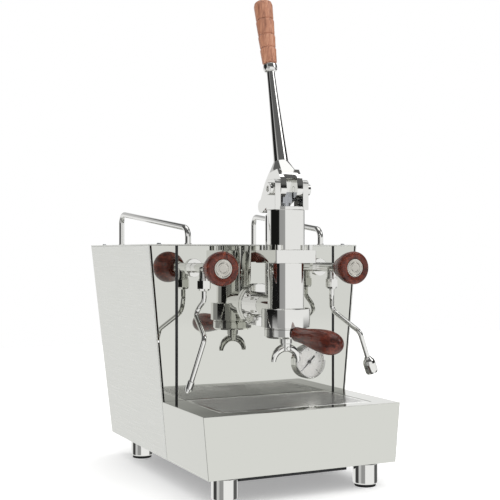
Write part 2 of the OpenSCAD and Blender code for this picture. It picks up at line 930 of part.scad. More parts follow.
module group_head() {
    r = bell_dia / 2;
    rise = bell_h;
    color("lightgray")
        difference() {
            union() {
                translate([0, group_y, bell_z])
                    rotate_extrude()
                        polygon([[0, 0], [r - 0.8, 0], [r, 0.8], [r, rise - 1.2],
                                 [r - 1.2, rise], [0, rise]]);
                rod_y(0, neck_z, group_y, neck_end, neck_dia / 2);
                rod_y(0, neck_z, front_y - neck_plate_t, front_y, neck_dia / 2 + 14);
            }
            // seat of the cylinder, then the bore and the socket below it
            translate([0, group_y, cyl_z])
                cylinder(r = cyl_dia / 2, h = neck_dia);
            translate([0, group_y, bell_z - 1]) {
                cylinder(r = bore_r, h = bell_h + 2);
                cylinder(r = socket_r + pass_gap, h = rim_z + screen_h + pass_gap - bell_z + 1);
            }
            translate([0, group_y, lug_z - 0.4])
                cylinder(r = lug_groove_r, h = lug_h + 0.8);
            for (side = [0, 180])
                translate([0, group_y, bell_z - 1])
                    rotate([0, 0, side - unlock_angle - lug_angle / 2 - 3])
                        rotate_extrude(angle = lug_angle + 6)
                            square([lug_groove_r, lug_z - bell_z + 1 + eps]);
            for (side = [-1, 1])
                rod_y(0, neck_z + side * 9, group_y + cyl_dia / 2 + 6, neck_end + 1, pipe_r);
            each_neck_bolt()
                rod_y(0, 0, -30, 1, 3);
        }
}

// Four bolts that hold the neck's plate to the housing
module each_neck_bolt() {
    for (angle = [35, 145, 215, 325])
        translate([(neck_dia / 2 + 7) * cos(angle), front_y,
                   neck_z + (neck_dia / 2 + 7) * sin(angle)])
            children();
}

bolt_at = flange_w / 2 - 8;

module each_flange_bolt() {
    for (x = [-1, 1], y = [-1, 1])
        translate([x * bolt_at, group_y + y * bolt_at, 0])
            children();
}

// A socket cap screw standing on z = 0, with its shank below
module cap_screw(head_r, head_h, shank_r, shank_l) {
    difference() {
        cylinder(r = head_r, h = head_h);
        translate([0, 0, head_h / 2])
            cylinder(r = head_r * 0.55, h = head_h, $fn = 6);
    }
    translate([0, 0, -shank_l])
        cylinder(r = shank_r, h = shank_l);
}

module group_bolts() {
    color("silver") {
        each_flange_bolt()
            translate([0, 0, spring_z])
                cap_screw(5, 8, 3, flange_h);
        each_neck_bolt()
            translate([0, -neck_plate_t, 0])
                rotate([90, 0, 0])
                    cap_screw(4.5, 6, 3, neck_plate_t);
    }
}

module lower_cylinder() {
    color("lightgray")
        translate([0, group_y, cyl_z])
            difference() {
                cylinder(r = cyl_dia / 2, h = cyl_h);
                translate([0, 0, -1])
                    cylinder(r = bore_r, h = cyl_h + 2);
            }
}

module cylinder_flange() {
    w = flange_w / 2;
    c = 1.5;
    color("lightgray")
        difference() {
            translate([0, group_y, flange_z])
                linear_extrude(flange_h)
                    polygon([[-w + c, -w], [w - c, -w], [w, -w + c], [w, w - c],
                             [w - c, w], [-w + c, w], [-w, w - c], [-w, -w + c]]);
            translate([0, group_y, flange_z - 1])
                cylinder(r = bore_r, h = flange_h + 2);
            each_flange_bolt()
                translate([0, 0, flange_z - 1])
                    cylinder(r = 3, h = flange_h + 2);
        }
}

module spring_housing() {
    r = spring_dia / 2;
    color("lightgray")
        translate([0, group_y, spring_z])
            difference() {
                rotate_extrude()
                    polygon([[0, 0], [r, 0], [r, spring_h - 1.5], [r - 1.5, spring_h],
                             [0, spring_h]]);
                translate([0, 0, -1])
                    cylinder(r = bore_r, h = spring_h - cap_t + 1);
                cylinder(r = rod_r + run_fit, h = spring_h + 1);
            }
}

ear_front = -13;
ear_rear = 18;
ear_top = 15;
yoke_t = 5;

module lever_yoke() {
    color("lightgray")
        difference() {
            union() {
                translate([0, group_y, cap_z])
                    cylinder(r = spring_dia / 2, h = yoke_t);
                both_sides()
                    translate([ear_in, fulcrum_y, 0])
                        rotate([90, 0, 90])
                            linear_extrude(ear_t)
                                union() {
                                    translate([ear_front, cap_z])
                                        square([ear_rear - ear_front,
                                                fulcrum_up + ear_top - 6]);
                                    translate([ear_front + 6, fulcrum_z + 4])
                                        square([ear_rear - ear_front - 12, ear_top - 4]);
                                    for (y = [ear_front + 6, ear_rear - 6])
                                        translate([y, fulcrum_z + ear_top - 6])
                                            circle(r = 6);
                                }
            }
            translate([0, group_y, cap_z - 1])
                cylinder(r = rod_r + 1, h = yoke_t + 2);
            rod_x(fulcrum_y, fulcrum_z, -ear_out - 1, ear_out + 1, pin_r);
        }
}

post_y = fulcrum_y + heel_y;

module stop_post() {
    foot_z = neck_z;
    top = fulcrum_z + heel_z - heel_r - pass_gap;
    r = post_dia / 2;
    color("lightgray")
        difference() {
            translate([0, post_y, foot_z])
                rotate_extrude()
                    polygon([[0, 0], [r, 0], [r, top - foot_z - 5], [r - 1.5, top - foot_z - 2],
                             [r - 5, top - foot_z], [0, top - foot_z]]);
            rod_y(0, neck_z, group_y, front_y, neck_dia / 2);
        }
}

module fulcrum_pins() {
    color("silver")
        both_sides() {
            rod_x(fulcrum_y, fulcrum_z, cheek_in, ear_out, pin_r);
            difference() {
                rod_x(fulcrum_y, fulcrum_z, ear_out, ear_out + 6.5, 10);
                rod_x(fulcrum_y, fulcrum_z, ear_out + 3, ear_out + 8, 4.5);
            }
        }
}

module shower_screen() {
    hole_rings = 3;
    color("silver")
        translate([0, group_y, screen_z])
            difference() {
                cylinder(r = bore_r + 3, h = screen_h);
                translate([0, 0, 1])
                    cylinder(r = bore_r - 1, h = screen_h);
                for (ring = [1:hole_rings], i = [0:ring * 6 - 1])
                    rotate([0, 0, i * 60 / ring])
                        translate([ring * 7, 0, -1])
                            cylinder(r = 0.9, h = 4, $fn = 16);
            }
}

module group_gasket() {
    color("saddlebrown")
        translate([0, group_y, screen_z])
            difference() {
                cylinder(r = socket_r + pass_gap, h = screen_h);
                translate([0, 0, -1])
                    cylinder(r = bore_r + 3, h = screen_h + 2);
            }
}

// --- lever, crank and piston ---

module crank_hole(r, x0, x1) {
    rod_x(fulcrum_y + crank_r * cos(half_swing), fulcrum_z - crank_r * sin(half_swing),
          x0, x1, r);
}

module lever_fork() {
    shaft_r = shaft_dia / 2;
    color("lightgray")
        difference() {
            union() {
                // pyramid that gathers the two cheeks into the lever's root
                on_lever()
                    hull() {
                        translate([0, 0, root_s])
                            cylinder(r = shaft_r, h = 2, $fn = 32);
                        translate([0, 0, fork_s])
                            linear_extrude(9)
                                polygon([[-cheek_out + 6, -25], [cheek_out - 6, -25],
                                         [cheek_out, -16], [cheek_out, 22],
                                         [cheek_out - 4, 26], [-cheek_out + 4, 26],
                                         [-cheek_out, 22], [-cheek_out, -16]]);
                        translate([0, 0, fork_s + 20])
                            cylinder(r = cheek_out - 1.5, h = 2, $fn = 32);
                    }
                both_sides()
                    cheek();
                // roller bar of the heel
                rod_x(fulcrum_y + heel_y, fulcrum_z + heel_z, -cheek_in, cheek_in,
                      heel_r - 3);
            }
            // room for the crosshead between the cheeks
            translate([-cheek_in, fulcrum_y, fulcrum_z]) {
                rotate([0, 90, 0])
                    cylinder(r = 15, h = 2 * cheek_in);
                translate([0, -16, -40])
                    cube([2 * cheek_in, 16, 40]);
                translate([0, 0, -40])
                    cube([2 * cheek_in, heel_y - heel_r - 2, 54]);
            }
            rod_x(fulcrum_y, fulcrum_z, -ear_in, ear_in, pin_r + run_fit);
            crank_hole(crank_pin_r, -ear_in, ear_in);
        }
}

// One cheek of the fork: round the fulcrum, up into the root and back to the heel
module cheek() {
    translate([cheek_in, fulcrum_y, fulcrum_z])
        rotate([90, 0, 90])
            linear_extrude(cheek_t) {
                circle(r = 14);
                translate([heel_y, heel_z])
                    circle(r = heel_r);
                polygon([[-13.9, 2], [-11.5, 16], [0, 32], [30, 27], [44, 12],
                         [heel_y + 3, heel_z + heel_r - 2], [heel_y - 2, heel_z - heel_r + 0.5],
                         [4, -13.2]]);
            }
}

module crank_pin() {
    color("silver")
        crank_hole(crank_pin_r, -cheek_out, cheek_out);
}

collar_s = grip_from - 13;

module lever_shaft() {
    root = shaft_dia / 2;
    end = shaft_end_dia / 2;
    span = collar_s - root_s;
    steps = 10;
    // the taper is quick near the root and slow towards the grip
    taper = [for (i = [0:steps]) [end + (root - end) * pow(1 - i / steps, 1.25),
                                  root_s + 2 + (span - 2) * i / steps]];
    color("lightgray")
        on_lever()
            rotate_extrude()
                polygon(concat([[0, root_s + 2]], taper,
                               [[end + 3.2, collar_s], [end + 5, collar_s + 2],
                                [end + 5, grip_from - 2], [end + 3.2, grip_from],
                                [0, grip_from]]));
}

grip_steps = 4;

module lever_grip() {
    r1 = grip_dia / 2;
    r0 = r1 - 3.5;
    seg = grip_l / grip_steps;
    // four turned steps, each a little wider than the one below
    steps = [for (i = [0:grip_steps - 1])
        let (low = r0 + (r1 - r0) * i / grip_steps, z = grip_from + i * seg)
            each [[low - 1.2, z], [low - 0.2, z + 1.5], [low + 1.2, z + seg - 5],
                  [low - 0.4, z + seg - 1]]];
    color("chocolate")
        on_lever()
            rotate_extrude()
                polygon(concat([[0, grip_from]],
                               [for (i = [0:len(steps) - 2]) steps[i]],
                               [[r1 - 0.4, grip_from + grip_l - 7],
                                [r1 - 2.5, grip_from + grip_l - 3],
                                [r1 - 6, grip_from + grip_l - 0.8],
                                [0, grip_from + grip_l]]));
}

module piston_rod() {
    pin_y = fulcrum_y;
    slot_z = fulcrum_z - crank_r * sin(half_swing);
    low = pin_y + cross_near - cross_wall;
    high = pin_y + cross_far + cross_wall;
    slot_r = crank_pin_r + cross_slot_gap;
    color("silver")
        difference() {
            union() {
                translate([0, group_y, piston_z + piston_h])
                    cylinder(r = rod_r, h = slot_z - cross_h / 2 + 1 - piston_z - piston_h);
                block([-cross_half, low, slot_z - cross_h / 2],
                      [cross_half, high, slot_z + cross_h / 2]);
            }
            block([-cross_half - 1, pin_y + cross_near + slot_r, slot_z - slot_r],
                  [cross_half + 1, pin_y + cross_far - slot_r, slot_z + slot_r]);
            for (y = [cross_near + slot_r, cross_far - slot_r])
                rod_x(pin_y + y, slot_z, -cross_half - 1, cross_half + 1, slot_r);
        }
}

module piston() {
    r = bore_r - run_fit;
    groove = 2.2;
    color("goldenrod")
        translate([0, group_y, piston_z])
            rotate_extrude()
                polygon([[0, 0], [r - 1, 0], [r, 1], [r, 5], [r - groove, 5],
                         [r - groove, 8], [r, 8], [r, 12], [r - groove, 12],
                         [r - groove, 15], [r, 15], [r, piston_h - 4], [12, piston_h - 4],
                         [12, piston_h], [0, piston_h]]);
}

module group_spring() {
    low = piston_z + piston_h - 4 + spring_wire_r + 0.3;
    high = cap_z - cap_t - spring_wire_r - 0.3;
    sides = 8;
    rings = 18 * spring_turns + 1;
    // rings of points along the helix, each in a plane through the axis
    pts = [for (i = [0:rings - 1]) let (t = i / (rings - 1), a = t * 360 * spring_turns)
        for (j = [0:sides - 1])
            let (b = -j * 360 / sides, q = spring_r + spring_wire_r * cos(b))
                [q * cos(a), q * sin(a), low + t * (high - low) + spring_wire_r * sin(b)]];
    color("gray")
        translate([0, group_y, 0])
            polyhedron(pts, tube_faces(rings, sides));
}

// --- portafilter ---

cup_r = socket_r;
basket_r = bore_r + 4;
ring_z = bell_z - 2;
ring_h = 15;
ring_low = ring_z - ring_h;
boss_h = 9;
pf_floor = 2.5;
handle_z = ring_low + 8;
handle_y0 = group_y - ring_dia / 2;
handle_neck = 1;
ferrule_l = 4;
ferrule_r = bell_z - handle_z - 0.6;
handle_stud_r = 4.5;
handle_stud_in = 18;

// The handle's own line: -Y runs out of the ring along the handle
module on_handle() {
    translate([0, handle_y0, handle_z])
        rotate([handle_droop, 0, 0])
            children();
}

module portafilter_body() {
    color("lightgray")
        difference() {
            union() {
                translate([0, group_y, ring_low])
                    rotate_extrude()
                        polygon([[0, 0], [ring_dia / 2 - 3, 0], [ring_dia / 2, 3],
                                 [ring_dia / 2, ring_h - 1], [ring_dia / 2 - 1, ring_h],
                                 [cup_r, ring_h], [cup_r, rim_z - ring_low], [0, rim_z - ring_low]]);
                translate([0, group_y, ring_low - boss_h])
                    cylinder(r = 10, h = boss_h + 1);
                for (side = [0, 180])
                    translate([0, group_y, lug_z])
                        rotate([0, 0, side - lug_angle / 2])
                            rotate_extrude(angle = lug_angle)
                                translate([cup_r - 2, 0])
                                    square([lug_out + 2, lug_h]);
                // neck of the handle, and the stud that the handle is screwed on
                on_handle() {
                    rod_y(0, 0, -handle_neck, 4, 7);
                    rod_y(0, 0, -handle_neck - ferrule_l - handle_stud_in, 0, handle_stud_r);
                }
            }
            translate([0, group_y, ring_low + pf_floor])
                cylinder(r = basket_r + pass_gap, h = 60);
            translate([0, group_y, ring_low - boss_h - 1])
                cylinder(r = 4, h = 60);
        }
}

module filter_basket() {
    low = ring_low + pf_floor + 2;
    wall = 1;
    color("silver")
        translate([0, group_y, 0])
            difference() {
                rotate_extrude()
                    polygon([[0, low], [basket_r - 4, low], [basket_r - 1, low + 3],
                             [basket_r - 1, rim_z - 1], [basket_r, rim_z - 1],
                             [basket_r, rim_z], [basket_r - 1 - wall, rim_z],
                             [basket_r - 1 - wall, low + 3.4], [basket_r - 4.4, low + wall],
                             [0, low + wall]]);
                for (ring = [1:3], i = [0:ring * 6 - 1])
                    rotate([0, 0, i * 60 / ring])
                        translate([ring * 6.5, 0, low - 1])
                            cylinder(r = 0.8, h = 4, $fn = 16);
            }
}

spout_top = ring_low - boss_h;
spout_r = 6.5;
spout_wall = 2;
spout_bend = spout_gap / 2;
spout_z = spout_top - spout_bend - spout_r - 0.5;

// The round arch of the double spout, open at both tips
module spout_arch(r) {
    translate([0, 0, spout_z])
        rotate([90, 0, 0])
            rotate_extrude(angle = 180)
                translate([spout_bend, 0])
                    circle(r = r);
}

module double_spout() {
    arch_z = spout_z + spout_bend;
    color("lightgray")
        translate([0, group_y, 0])
            difference() {
                union() {
                    translate([0, 0, arch_z - 9])
                        cylinder(r = 9, h = spout_top - arch_z + 9);
                    spout_arch(spout_r);
                    // screw boss in the middle of the arch
                    rod_y(0, arch_z - 1, -spout_r - 4, -spout_r + 3, 3.4);
                }
                translate([0, 0, arch_z])
                    cylinder(r = 4, h = 60);
                spout_arch(spout_r - spout_wall);
                both_sides()
                    translate([spout_bend, 0, spout_z - 1])
                        cylinder(r = spout_r - spout_wall, h = 1 + eps);
            }
}

module handle_ferrule() {
    color("lightgray")
        on_handle()
            difference() {
                spin_y(0, -handle_neck - ferrule_l, 0,
                       [[0, 0], [ferrule_r, 0], [ferrule_r, ferrule_l - 0.8],
                        [ferrule_r - 0.8, ferrule_l], [0, ferrule_l]]);
                rod_y(0, 0, -30, 1, handle_stud_r);
            }
}

// Pear outline of the handle: slim behind the ferrule, full near the round end
function pear(t, r0, r1) = t < 0.72
    ? r0 + (r1 - r0) * (1 - cos(180 * t / 0.72)) / 2
    : r1 * sqrt(max(0, 1 - pow((t - 0.72) / 0.28, 2.4)));

module portafilter_handle() {
    start = -handle_neck - ferrule_l;
    long = (ring_dia / 2 - handle_reach) / cos(handle_droop) - start;
    steps = 22;
    outline = [for (i = [0:steps]) let (t = i / steps)
        [i == steps ? 0 : pear(t, 11.5, handle_dia / 2), long * t]];
    color("maroon")
        on_handle()
            difference() {
                spin_y(0, start, 0, concat([[0, 0]], outline));
                rod_y(0, 0, start - handle_stud_in - eps, start + 1, handle_stud_r);
            }
}

// --- valves, knobs and wands ---

module valve_bodies() {
    bonnet_l = 12;
    color("lightgray")
        for (side = [-1, 1])
            difference() {
                union() {
                    rod_y(side * valve_x, valve_z, bonnet_y, front_y + valve_in, valve_r);
                    translate([side * valve_x, bonnet_y, valve_z])
                        rotate([-90, 30, 0])
                            cylinder(r = 11, h = bonnet_l, $fn = 6);
                    rod_y(side * valve_x, valve_z, front_y - 5, front_y, 15);
                    translate([side * valve_x, outlet_y, nut_top])
                        cylinder(r = valve_r, h = valve_z - nut_top);
                }
                rod_y(side * valve_x, valve_z, bonnet_y - 1, outlet_y - 6, stem_r + run_fit);
            }
}

module outlet_nuts() {
    ball_r = ball_dia / 2;
    color("lightgray")
        for (side = [-1, 1])
            translate([side * valve_x, outlet_y, 0])
                difference() {
                    union() {
                        translate([0, 0, nut_bottom + 3])
                            cylinder(r = nut_af / 2 / cos(30), h = nut_top - nut_bottom - 6, $fn = 6);
                        translate([0, 0, nut_top - 3])
                            cylinder(r = 9, h = 3);
                        translate([0, 0, nut_bottom])
                            cylinder(r1 = 8.2, r2 = 9.8, h = 3);
                    }
                    translate([0, 0, ball_z])
                        sphere(r = ball_r + pass_gap);
                    translate([0, 0, ball_z - ball_r - 3])
                        cylinder(r = wand_dia / 2 + 1.2, h = ball_r + 3);
                    translate([0, 0, ball_z + 2])
                        cylinder(r = 4, h = 30);
                }
}

knob_l = 48;
medal_r = 15;

// Knob outline: face, rounded rim, then a bell that narrows to the stem
module knob(x) {
    r = knob_dia / 2;
    difference() {
        spin_y(x, knob_y, valve_z,
               [[0, 3], [medal_r + 0.5, 3], [medal_r + 0.5, 1.2], [r - 6, 0], [r - 3, 0.6], [r - 1, 2.2],
                [r, 5], [r, 10], [r - 0.6, 15], [r - 2, 21], [r - 4.2, 27],
                [r - 6.6, 33], [r - 8.6, 40], [r - 10, knob_l - 4],
                [r - 11.5, knob_l - 1.5], [0, knob_l - 1.5]]);
        rod_y(x, valve_z, knob_y, knob_y + knob_l, stem_r);
    }
}

// Metal core: medallion in the face and the valve's spindle behind it
module knob_core(x) {
    rod_y(x, valve_z, knob_y + 1.6, knob_y + 3, medal_r);
    rod_y(x, valve_z, knob_y + 3, outlet_y - 7, stem_r);
}

module steam_knob() {
    color("maroon")
        knob(-valve_x);
}

module water_knob() {
    color("maroon")
        knob(valve_x);
}

module steam_knob_core() {
    color("silver")
        knob_core(-valve_x);
}

module water_knob_core() {
    color("silver")
        knob_core(valve_x);
}

// Each wand's middle line, counted from its ball, for the left side
steam_path = [[0, 0, 0], [0, 0, -20], [-9, 16, -41], [-22, -55, -75], [-41, -47, -141]];
water_path = [[0, 0, 0], [0, 0, -20], [-9, 16, -41], [-22, -55, -75], [-38, -53, -117]];

module wand(path) {
    translate([-valve_x, outlet_y, ball_z]) {
        sphere(r = ball_dia / 2);
        tube(path, wand_dia / 2, 12, 16);
    }
}

// A profile of [radius, distance] points spun about the wand's last stretch
module on_tip(path, points) {
    end = path[len(path) - 1];
    d = end - path[len(path) - 2];
    translate([-valve_x, outlet_y, ball_z])
        translate(end)
            rotate([0, acos(d[2] / norm(d)), atan2(d[1], d[0])])
                rotate_extrude()
                    polygon(points);
}

module steam_wand() {
    color("lightgray")
        wand(steam_path);
}

module steam_tip() {
    color("lightgray")
        on_tip(steam_path, [[0, 0], [4.8, 0], [5.6, 1.5], [5.6, 13], [4, 18], [2, 20], [0, 20]]);
}

module water_wand() {
    color("lightgray")
        mirror([1, 0, 0])
            wand(water_path);
}

module water_outlet() {
    color("lightgray")
        mirror([1, 0, 0])
            on_tip(water_path, [[0, 0], [5, 0], [6.5, 3], [9.5, 7], [10.5, 12], [10.5, 26],
                                [9.5, 29], [7.5, 29], [7.5, 14], [0, 14]]);
}

// --- pressure gauge ---

module gauge_case() {
    r = gauge_dia / 2;
    color("lightgray")
        difference() {
            union() {
                spin_y(gauge_x, front_y - gauge_proud, gauge_z,
                       [[0, 0], [r - 2.5, 0], [r - 0.8, 1], [r, 3], [r, gauge_proud],
                        [0, gauge_proud]]);
                rod_y(gauge_x, gauge_z, front_y, front_y + gauge_in, r - 2);
            }
            rod_y(gauge_x, gauge_z, front_y - gauge_proud - 1, front_y - 2, r - 3.5);
        }
}

module gauge_dial() {
    color("white")
        difference() {
            rod_y(gauge_x, gauge_z, front_y - 3, front_y - 2, gauge_dia / 2 - 3.5);
            rod_y(gauge_x, gauge_z, front_y - 4, front_y - 1, 1 + run_fit);
        }
}

module gauge_glass() {
    color("white", 0.3)
        rod_y(gauge_x, gauge_z, front_y - gauge_proud + 1, front_y - gauge_proud + 2.5,
              gauge_dia / 2 - 3.5);
}

// The needle rests at zero, this far to the left of straight up
needle_zero = 135;

module gauge_needle() {
    reach = gauge_dia / 2 - 9;
    color("black") {
        rod_y(gauge_x, gauge_z, front_y - 6.5, front_y - 4, 3);
        rod_y(gauge_x, gauge_z, front_y - 4, front_y - 2.2, 1);
        translate([gauge_x, front_y - 5.6, gauge_z])
            rotate([0, -needle_zero, 0])
                sweep_y([[-1.4, -14], [1.4, -14], [1.1, -4], [0.8, 0], [0.25, reach],
                         [-0.25, reach], [-0.8, 0], [-1.1, -4]], -0.5, 0.5);
    }
}

// --- assembly ---

base_cover();
side_panel_left();
side_panel_right();
front_panel();
front_strips();
rear_panel();
top_frame();
cup_rails();
chassis();
feet();
foot_pads();
panel_screws();
boiler();
heating_element();
boiler_fittings();
pipes();
water_tank();
pump();
control_box();
power_inlet();
power_switch();
group_head();
group_bolts();
lower_cylinder();
cylinder_flange();
spring_housing();
lever_yoke();
stop_post();
fulcrum_pins();
shower_screen();
group_gasket();
valve_bodies();
outlet_nuts();
gauge_case();
gauge_dial();
gauge_glass();
gauge_needle();
drip_tray();
drip_grille();
cup_tray();
lever_fork();
crank_pin();
lever_shaft();
lever_grip();
piston_rod();
piston();
group_spring();
portafilter_body();
filter_basket();
double_spout();
handle_ferrule();
portafilter_handle();
steam_knob();
steam_knob_core();
water_knob();
water_knob_core();
steam_wand();
steam_tip();
water_wand();
water_outlet();
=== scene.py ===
"""Looks of a spring lever espresso machine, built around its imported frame.

Metres, +Z up, the front of the machine towards -Y. Sizes are written in millimetres
and turned to metres with MM.
"""

import math

import bmesh
import bpy
import numpy as np
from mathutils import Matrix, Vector


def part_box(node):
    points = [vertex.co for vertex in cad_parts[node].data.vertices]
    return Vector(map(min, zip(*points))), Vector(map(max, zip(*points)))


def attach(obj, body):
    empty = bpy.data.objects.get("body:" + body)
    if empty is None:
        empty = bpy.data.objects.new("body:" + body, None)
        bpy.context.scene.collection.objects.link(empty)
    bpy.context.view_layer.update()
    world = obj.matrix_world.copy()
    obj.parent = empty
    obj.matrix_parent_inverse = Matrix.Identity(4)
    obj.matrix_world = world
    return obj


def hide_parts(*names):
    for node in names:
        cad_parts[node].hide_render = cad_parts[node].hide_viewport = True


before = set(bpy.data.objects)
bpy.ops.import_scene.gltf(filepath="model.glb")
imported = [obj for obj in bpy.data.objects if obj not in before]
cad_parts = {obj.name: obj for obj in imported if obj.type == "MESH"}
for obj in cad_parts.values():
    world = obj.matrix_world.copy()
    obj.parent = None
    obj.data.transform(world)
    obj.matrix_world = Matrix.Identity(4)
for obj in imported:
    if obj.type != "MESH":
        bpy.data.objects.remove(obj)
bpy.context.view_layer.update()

scene = bpy.context.scene
MM = 0.001


# --- Camera ---
# Level with the middle of the machine and a quarter of a right angle to its left,
# far enough away for a short telephoto lens.

eye = Vector((-0.74264, -1.53926, 0.37637))
view_axis = Vector((0.4333, 0.90124, 0.00302))
camera = bpy.data.objects.new("camera", bpy.data.cameras.new("camera"))
camera.data.lens = 71.66
camera.data.sensor_width = 36
camera.location = eye
camera.rotation_euler = view_axis.to_track_quat("-Z", "Y").to_euler()
scene.collection.objects.link(camera)
scene.camera = camera


# --- Studio ---
# A pale cove with soft boxes overhead, a white card to the right, grey ones to the left
# of the camera and black ones beyond, which give chrome its clear light and dark bands.

scene.view_settings.view_transform = "Standard"


def linear(colour):
    """Turns an sRGB hex colour such as "#c0ffee" into linear RGBA: each channel c
    becomes c / 12.92 below 0.04045, and ((c + 0.055) / 1.055) ** 2.4 above it."""
    c = np.array([int(colour[i:i + 2], 16) for i in (1, 3, 5)]) / 255
    return (*np.where(c <= 0.04045, c / 12.92, ((c + 0.055) / 1.055) ** 2.4), 1.0)


def add(tree, kind, inputs=None, **settings):
    """Adds a node to a tree. settings are the node's own properties, and inputs gives
    each socket either a value or the output socket that feeds it."""
    new = tree.nodes.new(kind)
    for name, value in settings.items():
        setattr(new, name, value)
    for name, value in (inputs or {}).items():
        if isinstance(value, bpy.types.NodeSocket):
            tree.links.new(value, new.inputs[name])
        else:
            new.inputs[name].default_value = value
    return new


def set_ramp(ramp, stops):
    """Gives a colour ramp its stops, each a position and a grey level or a colour."""
    elements = ramp.color_ramp.elements
    while len(elements) < len(stops):
        elements.new(0.5)
    for element, (place, colour) in zip(elements, stops):
        element.position = place
        grey = isinstance(colour, (int, float))
        element.color = (colour, colour, colour, 1) if grey else colour


def card(angle):
    """The place on a ramp of an angle in degrees to the right of the camera."""
    return angle / 360 + 0.5


world = bpy.data.worlds.new("studio")
scene.world = world
world.use_nodes = True
sky = world.node_tree
sky.nodes.clear()
ray = add(sky, "ShaderNodeTexCoord").outputs["Generated"]
ahead = Vector((view_axis.x, view_axis.y, 0)).normalized()
to_right = add(sky, "ShaderNodeVectorMath", {0: ray, 1: (ahead.y, -ahead.x, 0)},
               operation="DOT_PRODUCT").outputs["Value"]
to_camera = add(sky, "ShaderNodeVectorMath", {0: ray, 1: tuple(-ahead)},
                operation="DOT_PRODUCT").outputs["Value"]
around = add(sky, "ShaderNodeMath", {0: to_right, 1: to_camera}, operation="ARCTAN2")
around = add(sky, "ShaderNodeMath",
             {0: around.outputs[0], 1: 0.5 / math.pi, 2: 0.5}, operation="MULTIPLY_ADD")
height = add(sky, "ShaderNodeSeparateXYZ", {0: ray}).outputs["Z"]

# the cards near the horizon, those above 6 to 10 degrees, and those mirrored in the floor
low_ring = add(sky, "ShaderNodeValToRGB", {0: around.outputs[0]})
set_ramp(low_ring, [(card(-180), 0.92), (card(-112), 0.92), (card(-104), 0.01),
                    (card(-44), 0.01), (card(-40), 0.36), (card(-7), 0.38),
                    (card(-4), 0.95), (card(120), 0.95), (card(144), 0.8),
                    (card(147), 0.01), (card(161), 0.01), (card(166), 1.0)])
high_ring = add(sky, "ShaderNodeValToRGB", {0: around.outputs[0]})
set_ramp(high_ring, [(card(-180), 0.6), (card(-130), 0.6), (card(-122), 0.02),
                     (card(-62), 0.02), (card(-56), 0.85), (card(34), 0.85),
                     (card(52), 0.02), (card(163), 0.02), (card(168), 0.9)])
floor_ring = add(sky, "ShaderNodeValToRGB", {0: around.outputs[0]})
set_ramp(floor_ring, [(card(-180), 0.94), (card(-112), 0.94), (card(-104), 0.06),
                      (card(-72), 0.06), (card(-64), 0.7), (card(-44), 0.6),
                      (card(-40), 0.34), (card(-7), 0.36), (card(-4), 1.0),
                      (card(84), 1.0), (card(92), 0.12), (card(140), 0.12),
                      (card(150), 0.9)])
lift = add(sky, "ShaderNodeMapRange",
           {0: height, 1: math.sin(math.radians(6)), 2: math.sin(math.radians(10))})
ring = add(sky, "ShaderNodeMix", {0: lift.outputs[0], 6: low_ring.outputs[0],
                                  7: high_ring.outputs[0]}, data_type="RGBA")
overhead = add(sky, "ShaderNodeMapRange",
               {0: height, 1: math.sin(math.radians(24)), 2: math.sin(math.radians(30))})
# straight above hangs a grey net: matt surfaces are lit through it, and mirrors show it
kind_of_ray = add(sky, "ShaderNodeLightPath")
net = add(sky, "ShaderNodeMix", {0: kind_of_ray.outputs["Is Glossy Ray"], 6: (1.1, 1.1, 1.1, 1),
                                 7: (0.13, 0.13, 0.13, 1)}, data_type="RGBA")
dome = add(sky, "ShaderNodeMix", {0: overhead.outputs[0], 6: ring.outputs[2],
                                  7: net.outputs[2]}, data_type="RGBA")
underneath = add(sky, "ShaderNodeMapRange",
                 {0: height, 1: math.sin(math.radians(-3.6)), 2: math.sin(math.radians(-4.4))})
below = add(sky, "ShaderNodeMapRange",
            {0: height, 1: math.sin(math.radians(-26)), 2: math.sin(math.radians(-38))})
paper_side = add(sky, "ShaderNodeMix", {0: below.outputs[0], 6: floor_ring.outputs[0],
                                        7: (0.95, 0.95, 0.95, 1)}, data_type="RGBA")
cove = add(sky, "ShaderNodeMix", {0: underneath.outputs[0], 6: dome.outputs[2],
                                  7: paper_side.outputs[2]}, data_type="RGBA")
plain = add(sky, "ShaderNodeMix", {0: kind_of_ray.outputs["Is Camera Ray"], 6: cove.outputs[2],
                                   7: (1, 1, 1, 1)}, data_type="RGBA")
glow = add(sky, "ShaderNodeBackground", {"Color": plain.outputs[2], "Strength": 1.0})
add(sky, "ShaderNodeOutputWorld", {"Surface": glow.outputs[0]})

# soft boxes: place, where each points, width and power
BOXES = {
    "box_right": ((1.5, -1.0, 1.9), (0.05, 0.0, 0.2), 1.0, 7),
    "box_overhead": ((0.2, 0.2, 2.2), (0.0, 0.0, 0.0), 1.6, 9),
}
for name, (place, target, width, power) in BOXES.items():
    box_light = bpy.data.lights.new(name, "AREA")
    box_light.shape = "SQUARE"
    box_light.size = width
    box_light.energy = power
    lamp = bpy.data.objects.new(name, box_light)
    lamp.location = place
    lamp.rotation_euler = (Vector(target) - Vector(place)).to_track_quat("-Z", "Y").to_euler()
    scene.collection.objects.link(lamp)


def material(name, values):
    """A new material with one Principled shader, whose sockets take these values.
    Returns the material, its tree, the shader and the object coordinates."""
    new = bpy.data.materials.new(name)
    new.use_nodes = True
    new.node_tree.nodes.clear()
    shader = add(new.node_tree, "ShaderNodeBsdfPrincipled", values)
    add(new.node_tree, "ShaderNodeOutputMaterial", {"Surface": shader.outputs[0]})
    place = add(new.node_tree, "ShaderNodeTexCoord").outputs["Object"]
    return new, new.node_tree, shader, place


def feed(shader, sources):
    """Links the first output of each source node to the shader's socket of that name."""
    for socket, source in sources.items():
        shader.id_data.links.new(source.outputs[0], shader.inputs[socket])


